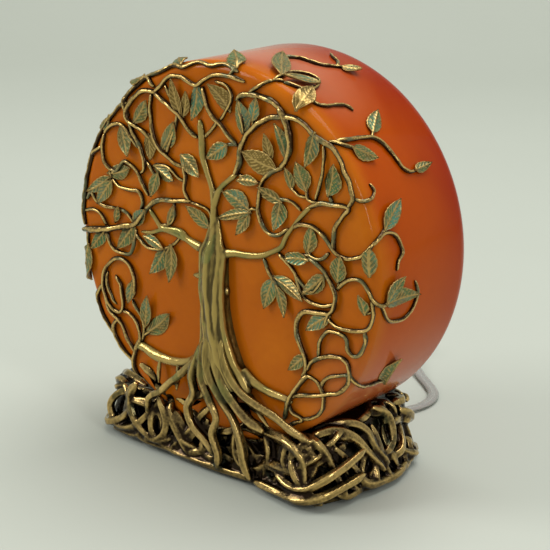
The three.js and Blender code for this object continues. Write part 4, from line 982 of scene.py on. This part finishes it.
def melt(piece, voxel, smooth):
    """Joins everything in the piece into one skin, and softens it."""
    remesh = piece.modifiers.new("skin", "REMESH")
    remesh.mode = "VOXEL"
    remesh.voxel_size = voxel * MM
    relax = piece.modifiers.new("soften", "SMOOTH")
    relax.factor = 0.5
    relax.iterations = smooth
    apply_modifiers(piece)


def coordinates(mesh):
    at = np.empty(len(mesh.vertices) * 3)
    mesh.vertices.foreach_get("co", at)
    return at.reshape(-1, 3)


def mark_crests(piece, rounds, full):
    """Names each vertex's height above its softened surroundings: 0 in grooves, 1 on ridges."""
    mesh = piece.data
    at = coordinates(mesh)
    ends = np.empty(len(mesh.edges) * 2, dtype=np.int64)
    mesh.edges.foreach_get("vertices", ends)
    a, b = ends.reshape(-1, 2).T
    count = np.bincount(np.concatenate([a, b]), minlength=len(at))[:, None]
    soft = at.copy()
    for _ in range(rounds):
        total = np.stack([
            np.bincount(np.concatenate([a, b]), np.concatenate([soft[b, k], soft[a, k]]), len(at))
            for k in range(3)
        ], axis=1)
        soft = 0.3 * soft + 0.7 * total / np.maximum(count, 1)
    normals = np.empty(len(at) * 3)
    mesh.vertices.foreach_get("normal", normals)
    above = ((at - soft) * normals.reshape(-1, 3)).sum(axis=1) / MM
    layer = mesh.attributes.new("crest", "FLOAT", "POINT")
    layer.data.foreach_set("value", np.clip(0.5 + above / (2 * full), 0, 1).astype(np.float32))


# ---- trunk ----------------------------------------------------------------------------------
def trunk_at(z):
    table = np.array(TRUNK[::-1], float)
    return [np.interp(z, table[:, 0], table[:, k]) for k in (1, 2, 3)]


def add_trunk_core(build):
    heights = np.linspace(20, -55, 70)
    rows = []
    for z in heights:
        left, right, thick = trunk_at(z)
        a = np.linspace(0, math.pi, 15)
        middle, half = (left + right) / 2, (right - left) / 2
        x = middle + half * 0.97 * np.cos(a)
        lift = -0.8 + (thick + 0.2) * np.sin(a) ** 0.7
        rows.append(on_drum(np.stack([x, np.full_like(x, z)], axis=1), lift))
    rings = np.array(rows)
    build.add(rings.reshape(-1, 3), tube_faces(len(rings), 15))


def add_sinew(build, offset, swing, radius, seed):
    """A strand that runs up the trunk's face, offset from -1 at its left edge to 1 at its right."""
    z = np.linspace(-57, 17, 66)
    left, right, thick = trunk_at(z)
    u = np.clip(offset + swing * np.sin((z + 57) / 65 * math.pi * 1.2 + seed), -0.97, 0.97)
    x = (left + right) / 2 + (right - left) / 2 * u
    lift = np.maximum(thick - 1.5, 0.4) * np.sqrt(1 - u**2) ** 0.8
    line = np.stack([x, z], axis=1)
    taper = np.interp(z, [-57, -40, 4, 17], [1.35, 1.05, 0.8, 0.35])
    own = radius * (1 + 0.15 * wave(z, seed, 0.1, 0.3)) * taper
    points, faces, _, _ = sweep(on_drum(line, lift), drum_up(line), own, own, sides=10)
    build.add(points, faces)


def add_strand(build, row, seed):
    """A bough or a flare of the trunk, as three strands that wind about each other."""
    r0, r1, *flat = row
    line = smooth_line(np.array(flat, float).reshape(-1, 2), VINE_STEP)
    t = np.linspace(0, 1, len(line))
    run = np.arange(len(line)) * VINE_STEP
    radius = (r1 + (r0 - r1) * np.exp(-run / 9)) * (1 + 0.07 * wave(run, seed, 0.1, 0.4))
    radius *= 0.55 + 0.45 * np.clip(run[::-1] / 3, 0, 1)
    up = drum_up(line)
    along = unit(np.gradient(line, axis=0))
    side = np.stack([-along[:, 1], along[:, 0]], axis=1)
    for k, (swing, share) in enumerate([(0.0, 0.84), (0.38, 0.58), (-0.38, 0.58)]):
        turn = 0.5 * np.sin(t * len(line) * 0.09 + k * 2 + seed)
        own = radius * share
        aside = line + side * (radius * (swing + 0.25 * turn * (k > 0)))[:, None]
        lift = radius * (0.62 + 0.28 * turn * (k > 0))
        points, faces, _, _ = sweep(on_drum(aside, lift), up, own, own, sides=10)
        build.add(points, faces)


# Strands up the trunk: offset across it, sideways swing, radius and where the swing starts.
SINEWS = [
    (-0.88, 0.05, 1.5, 0), (-0.55, 0.22, 1.9, 1), (-0.15, -0.25, 1.6, 5),
    (0.15, 0.30, 2.1, 2), (0.5, -0.22, 1.7, 7), (0.84, 0.10, 1.7, 3),
]


def make_trunk():
    build = Build()
    add_trunk_core(build)
    for offset, swing, radius, seed in SINEWS:
        add_sinew(build, offset, swing, radius, seed)
    for k, row in enumerate(TRUNK_STRANDS):
        add_strand(build, row, 40 + k)
    trunk = build.done("trunk_bronze", TREE_BRONZE, "bark")
    melt(trunk, TRUNK_VOXEL, 10)
    mark_crests(trunk, 16, 0.14)
    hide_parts("tree_trunk")


# ---- root base ------------------------------------------------------------------------------
def rim(x, y):
    """Where a ray from the middle of the base, through x, y, meets its outline."""
    for (ax, ay), (bx, by) in zip(OUTLINE, OUTLINE[1:] + OUTLINE[:1]):
        ex, ey = bx - ax, by - ay
        down = x * ey - y * ex
        if abs(down) < 1e-9:
            continue
        t = (ax * ey - ay * ex) / down
        s = (ax * y - ay * x) / down
        if t > 0 and 0 <= s <= 1:
            return x * t, y * t
    return x, y


def wall_top(x, y):
    """Height of the mound's shoulder at x, y: a knob at the left and a hump at the right."""
    left = 29.0 - 4.0 * abs(y) / 40
    right = 36.0 - 5.0 * abs(y - 2) / 40
    middle = 27.0 + (8.0 * math.exp(-((x - 4) / 19) ** 2) if y < 0 else 0.0)
    if x < -38:
        share = min(1.0, (-38 - x) / 14)
        return middle + (left - middle) * share
    share = min(1.0, max(0.0, (x - 26) / 14))
    return middle + (right - middle) * share


def base_point(angle, climb, lift):
    """A point on the mound: climb is the way up the wall, which bends in over its shoulder."""
    rx, ry = rim(math.cos(angle), math.sin(angle))
    out = np.array([rx, ry]) / math.hypot(rx, ry)
    top = wall_top(rx, ry)
    bend = 7.0
    slope = 0.06 + 0.26 * min(1.0, max(0.0, (abs(rx) - 50) / 14))
    if ry > 0:
        slope = max(slope, 0.12)
    if climb < top - bend:
        z, inward, up = climb, max(0.0, climb - 5) * slope, 0.0
    else:
        a = min((climb - top + bend) / bend, math.pi / 2)
        over = max(0.0, climb - top + bend - bend * math.pi / 2)
        z = top - bend + bend * math.sin(a)
        inward = max(0.0, top - bend - 5) * slope + bend * (1 - math.cos(a)) + over
        up = a
    at = np.array([rx, ry]) - out * inward + out * lift * math.cos(up)
    return np.array([at[0], at[1], z + lift * math.sin(up)])


# Roots in front: those that run down from the trunk's foot, and more at both ends of the base.
FLOW_ROOTS = [
    (2.6, 2.4, [(0, -40.5, 68), (2, -41.5, 60), (6, -42, 52), (10, -42, 44), (15, -41.5, 38),
                (22, -41, 32), (31, -40.5, 28.5)]),
    (2.4, 2.0, [(6, -39.5, 66), (8.5, -41, 57), (13, -41.5, 49), (19, -41, 43), (27, -40.5, 39.5),
                (36, -40, 37), (45, -39.5, 33), (54, -37, 29)]),
    (2.4, 2.2, [(1, -40.5, 66), (0, -42, 56), (2, -42.5, 47), (8, -42, 38), (15, -41.5, 30), (19, -41, 21),
                (21, -40.5, 11), (24, -40, 4)]),
    (2.2, 2.0, [(-2, -40.5, 64), (-3, -41.8, 55), (-3, -42, 45), (1, -41.5, 36), (5, -41, 28), (3, -41, 20),
                (6, -40.5, 11), (5, -40, 4)]),
    (2.2, 2.0, [(-3, -39.5, 62), (-6.5, -41, 53), (-9, -41.5, 44), (-8, -41, 36), (-12, -40.5, 28),
                (-9, -40, 20), (-2, -40, 15), (4, -40, 9)]),
    (2.0, 1.8, [(-6, -39.5, 54), (-12, -40, 47), (-18, -40, 41), (-24, -39.5, 36), (-29, -39.5, 31),
                (-36, -39.5, 26), (-38, -39, 18)]),
    (1.3, 1.3, [(-31, -37.5, 46), (-31.5, -38, 40), (-31, -38.5, 34)]),
    (1.3, 1.3, [(-21, -37.5, 46), (-20, -38, 40), (-20.5, -38.5, 33)]),
    (1.3, 1.3, [(12, -38, 43), (22, -38.5, 42), (27, -39, 36), (33, -39.5, 31)]),
    (2.4, 2.2, [(26, -39.5, 3.9), (40, -41.5, 4), (52, -43, 4.6), (61, -39, 7), (65.5, -28, 10),
                (67, -16, 12)]),
    (2.3, 2.1, [(36, -38.5, 12), (46, -41.5, 9), (55, -41.5, 10), (62, -36, 15), (65, -26, 19),
                (65, -14, 22)]),
    (2.2, 2.0, [(46, -40.5, 22), (50, -42, 15), (57, -40, 5), (62, -38, 4)]),
    (2.3, 2.0, [(-74, -24, 4), (-66, -35, 5), (-54, -37, 11), (-50, -36.5, 20), (-56, -35, 26)]),
    (2.3, 2.0, [(-46, -37, 30), (-50, -37, 22), (-46, -38, 12), (-34, -38.5, 6), (-24, -38.5, 9)]),
    (2.3, 2.0, [(-32, -38, 28), (-26, -38.5, 17), (-30, -38.5, 8), (-42, -38, 4)]),
]


def on_wall(x, y, z):
    """The point at height z on the base's wall, or over its shoulder, in the direction of x, y."""
    angle = math.atan2(y, x)
    rx, ry = rim(math.cos(angle), math.sin(angle))
    top = wall_top(rx, ry)
    climb = z if z < top - 3 else top - 3 + 1.5 * (z - top + 3)
    return base_point(angle, climb, -0.6)


def add_root(build, line, r0, r1, seed):
    """A lobed root along line, which tapers from radius r0 to r1 and narrows at its ends."""
    n = len(line)
    t = np.linspace(0, 1, n)
    run = t * n
    radius = (r0 + (r1 - r0) * t) * (1 + 0.10 * wave(run, seed, 0.06, 0.2))
    ends = np.minimum(run, run[::-1])
    radius = radius * (0.5 + 0.5 * np.clip(ends / 4, 0, 1))
    up = unit(np.stack([line[:, 0] * 0.3, line[:, 1], np.full(n, 1.0)], axis=1))
    points, faces, crest, _ = sweep(line, up, radius, radius, sides=20, lobes=4 + seed % 2, depth=0.24,
                                    turn=seed + 0.09 * run)
    build.add(points, faces, crest=np.clip(crest, 0, 1))


def wander(own, angle, climb, heading, length, step):
    """A root's wandering run over the mound, as angle and climb pairs."""
    path = []
    drift = own.uniform(-0.05, 0.05)
    for _ in range(int(length / step)):
        rx, ry = rim(math.cos(angle), math.sin(angle))
        reach = math.hypot(rx, ry)
        top = wall_top(rx, ry)
        path.append((angle, climb))
        drift = 0.86 * drift + own.normal(0, 0.045)
        heading += drift
        if climb < 6:
            heading += 0.12 * math.copysign(1, math.cos(heading))
        if climb > top + 1:
            heading -= 0.12 * math.copysign(1, math.cos(heading))
        climb = min(max(climb + step * math.sin(heading), 3.9), top + 8)
        angle += step * math.cos(heading) / reach
    return path


def add_fixed_roots(build):
    for k, (r0, r1, points) in enumerate([*FRONT_ROOTS, *REAR_ROOTS]):
        placed = []
        for x, y, z in points:
            placed.append((x, y, z) if z > 33 and y < -36 else tuple(on_wall(x, y, z)))
        line = smooth_line(placed, ROOT_STEP)
        line[:, 2] = np.maximum(line[:, 2], BASE_BOTTOM + 2.1)
        add_root(build, line, r0 * 1.05, r1 * 1.05, 60 + k)
    for k, (r0, r1, points) in enumerate(FLOW_ROOTS):
        add_root(build, smooth_line(points, ROOT_STEP), r0, r1, 90 + k)


def add_wandering_roots(build):
    """Roots that wander over the mound, apart from those that would enter the drum or the outlet."""
    own = np.random.default_rng(WANDERING_SEED)
    for k in range(WANDERING_ROOTS):
        angle = own.uniform(0, 2 * math.pi)
        climb = own.uniform(4, 34)
        heading = own.uniform(0, 2 * math.pi)
        path = wander(own, angle, climb, heading, own.uniform(30, 75), WANDER_STEP)
        radius = own.uniform(1.8, 2.6)
        weave = -2.2 + 1.5 * wave(np.arange(len(path)) * WANDER_STEP, 300 + k, 0.08, 0.2)
        line = np.array([base_point(a, c, w) for (a, c), w in zip(path, weave)])
        line = smooth_line(line[::3], ROOT_STEP)
        line[:, 2] = np.maximum(line[:, 2], BASE_BOTTOM + radius)
        if outside_drum(line, radius) and clear_of_outlet(line, radius):
            add_root(build, line, radius, radius * 0.85, 200 + k)


def make_base():
    build = Build()
    add_fixed_roots(build)
    add_wandering_roots(build)
    core = make_base_core()
    polygons = [tuple(p.vertices) for p in core.data.polygons]
    build.add(coordinates(core.data) / MM, polygons, crest=0.5)
    bpy.data.objects.remove(core)
    base = build.done("base_roots", TREE_BRONZE, "root")
    melt(base, ROOT_VOXEL, 2)
    seat(base)
    mark_crests(base, 34, 1.2)
    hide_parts("root_base")


def seat(piece):
    """Presses the base flat below, and back from the glass that stands in it."""
    mesh = piece.data
    at = coordinates(mesh) / MM
    at[:, 2] = np.maximum(at[:, 2], BASE_BOTTOM)
    away = np.hypot(at[:, 0], at[:, 2] - DRUM_Z)
    deep_side = DRUM_RADIUS + 0.15 - away
    deep_face = DRUM_DEPTH / 2 + 0.15 - np.abs(at[:, 1])
    inside = (deep_side > 0) & (deep_face > 0)
    by_side = inside & (deep_side < deep_face)
    by_face = inside & ~by_side
    push = (DRUM_RADIUS + 0.15) / np.maximum(away, 1)
    at[by_side, 0] *= push[by_side]
    at[by_side, 2] = DRUM_Z + (at[by_side, 2] - DRUM_Z) * push[by_side]
    at[by_face, 1] = np.sign(at[by_face, 1]) * (DRUM_DEPTH / 2 + 0.15)
    mesh.vertices.foreach_set("co", (at * MM).ravel())
    mesh.update()


def clear_of_outlet(line, radius):
    near = (np.abs(line[:, 0] - CHANNEL_X) < 8 + radius) & (line[:, 1] > 34) & (line[:, 2] < 12 + radius)
    return not near.any()


def outside_drum(line, radius):
    inside = (np.hypot(line[:, 0], line[:, 2] - DRUM_Z) < DRUM_RADIUS - 0.4 * radius) & (
        np.abs(line[:, 1]) < DRUM_DEPTH / 2 - 0.4 * radius)
    return not inside.any()


def cut(piece, cutter):
    """Takes the cutter's volume out of the piece."""
    away = piece.modifiers.new("cut", "BOOLEAN")
    away.operation = "DIFFERENCE"
    away.solver = "EXACT"
    away.object = cutter
    apply_modifiers(piece)
    bpy.data.objects.remove(cutter)


def loose(name, points, faces):
    """A closed mesh in no piece yet, with its faces turned outwards."""
    mesh = bpy.data.meshes.new(name)
    mesh.from_pydata((np.asarray(points) * MM).tolist(), [], faces)
    solid = bmesh.new()
    solid.from_mesh(mesh)
    bmesh.ops.recalc_face_normals(solid, faces=solid.faces)
    solid.to_mesh(mesh)
    solid.free()
    piece = bpy.data.objects.new(name, mesh)
    bpy.context.scene.collection.objects.link(piece)
    return piece


def make_base_core():
    """The dark mound under the roots, cut back from the drum, the recess and the cord channel."""
    angles = np.linspace(0, 2 * math.pi, 72, endpoint=False)
    rings = []
    for climb, lift in [(BASE_BOTTOM, -3.6), (6, -3.6), (14, -3.7), (20, -3.7), (26, -3.7), (31, -3.7),
                        (36, -3.8), (42, -4.2), (52, -5), (62, -6)]:
        rings.append([base_point(a, climb, lift) for a in angles])
    rings = np.array(rings)
    rings[0, :, 2] = BASE_BOTTOM
    core = loose("base_core", rings.reshape(-1, 3), tube_faces(len(rings), 72))
    profile = [(0.01, -DRUM_DEPTH / 2 - 0.3), *drum_profile(0.3, 6)[5:-4], (0.01, DRUM_DEPTH / 2 + 0.3)]
    points, faces = turned_mesh(profile, 96)
    points = np.stack([points[:, 0], points[:, 2], DRUM_Z - points[:, 1]], axis=1)
    cut(core, loose("cut_drum", points, faces))
    recess = [(0.01, -5), (RECESS_RADIUS, -5), (RECESS_RADIUS, RECESS_TOP), (19, RECESS_TOP), (19, 30),
              (0.01, 30)]
    points, faces = turned_mesh(recess, 64)
    cut(core, loose("cut_recess", points, faces))
    x0, x1 = CHANNEL_X - CHANNEL_HALF, CHANNEL_X + CHANNEL_HALF
    corners = [(x, y, z) for z in (-5, CHANNEL_TOP) for y in (0, 60) for x in (x0, x1)]
    sides = [(0, 2, 3, 1), (4, 5, 7, 6), (0, 1, 5, 4), (2, 6, 7, 3), (0, 4, 6, 2), (1, 3, 7, 5)]
    cut(core, loose("cut_channel", corners, sides))
    return core


def dress_kept_nodes():
    """Gives each node that is shown as it was modelled its own procedural material."""
    wear = {
        FELT: ["foot_1", "foot_2", "foot_3", "foot_4"],
        CREAM: ["holder_body"],
        BRASS: ["holder_shell", "holder_contact", "bulb_cap", "plug_blade_left", "plug_blade_right"],
        STEEL: ["holder_clip_left", "holder_clip_right", "switch_screw"],
        BULB: ["bulb_glass"],
        RUBBER: ["cord_grommet", "cord_relief"],
        IVORY: ["cord_tie", "switch_lower", "switch_upper", "switch_rocker", "plug_body"],
    }
    for material, names in wear.items():
        for name in names:
            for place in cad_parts[name].material_slots:
                place.material = material


make_branchwork()
make_trunk()
make_base()
dress_kept_nodes()
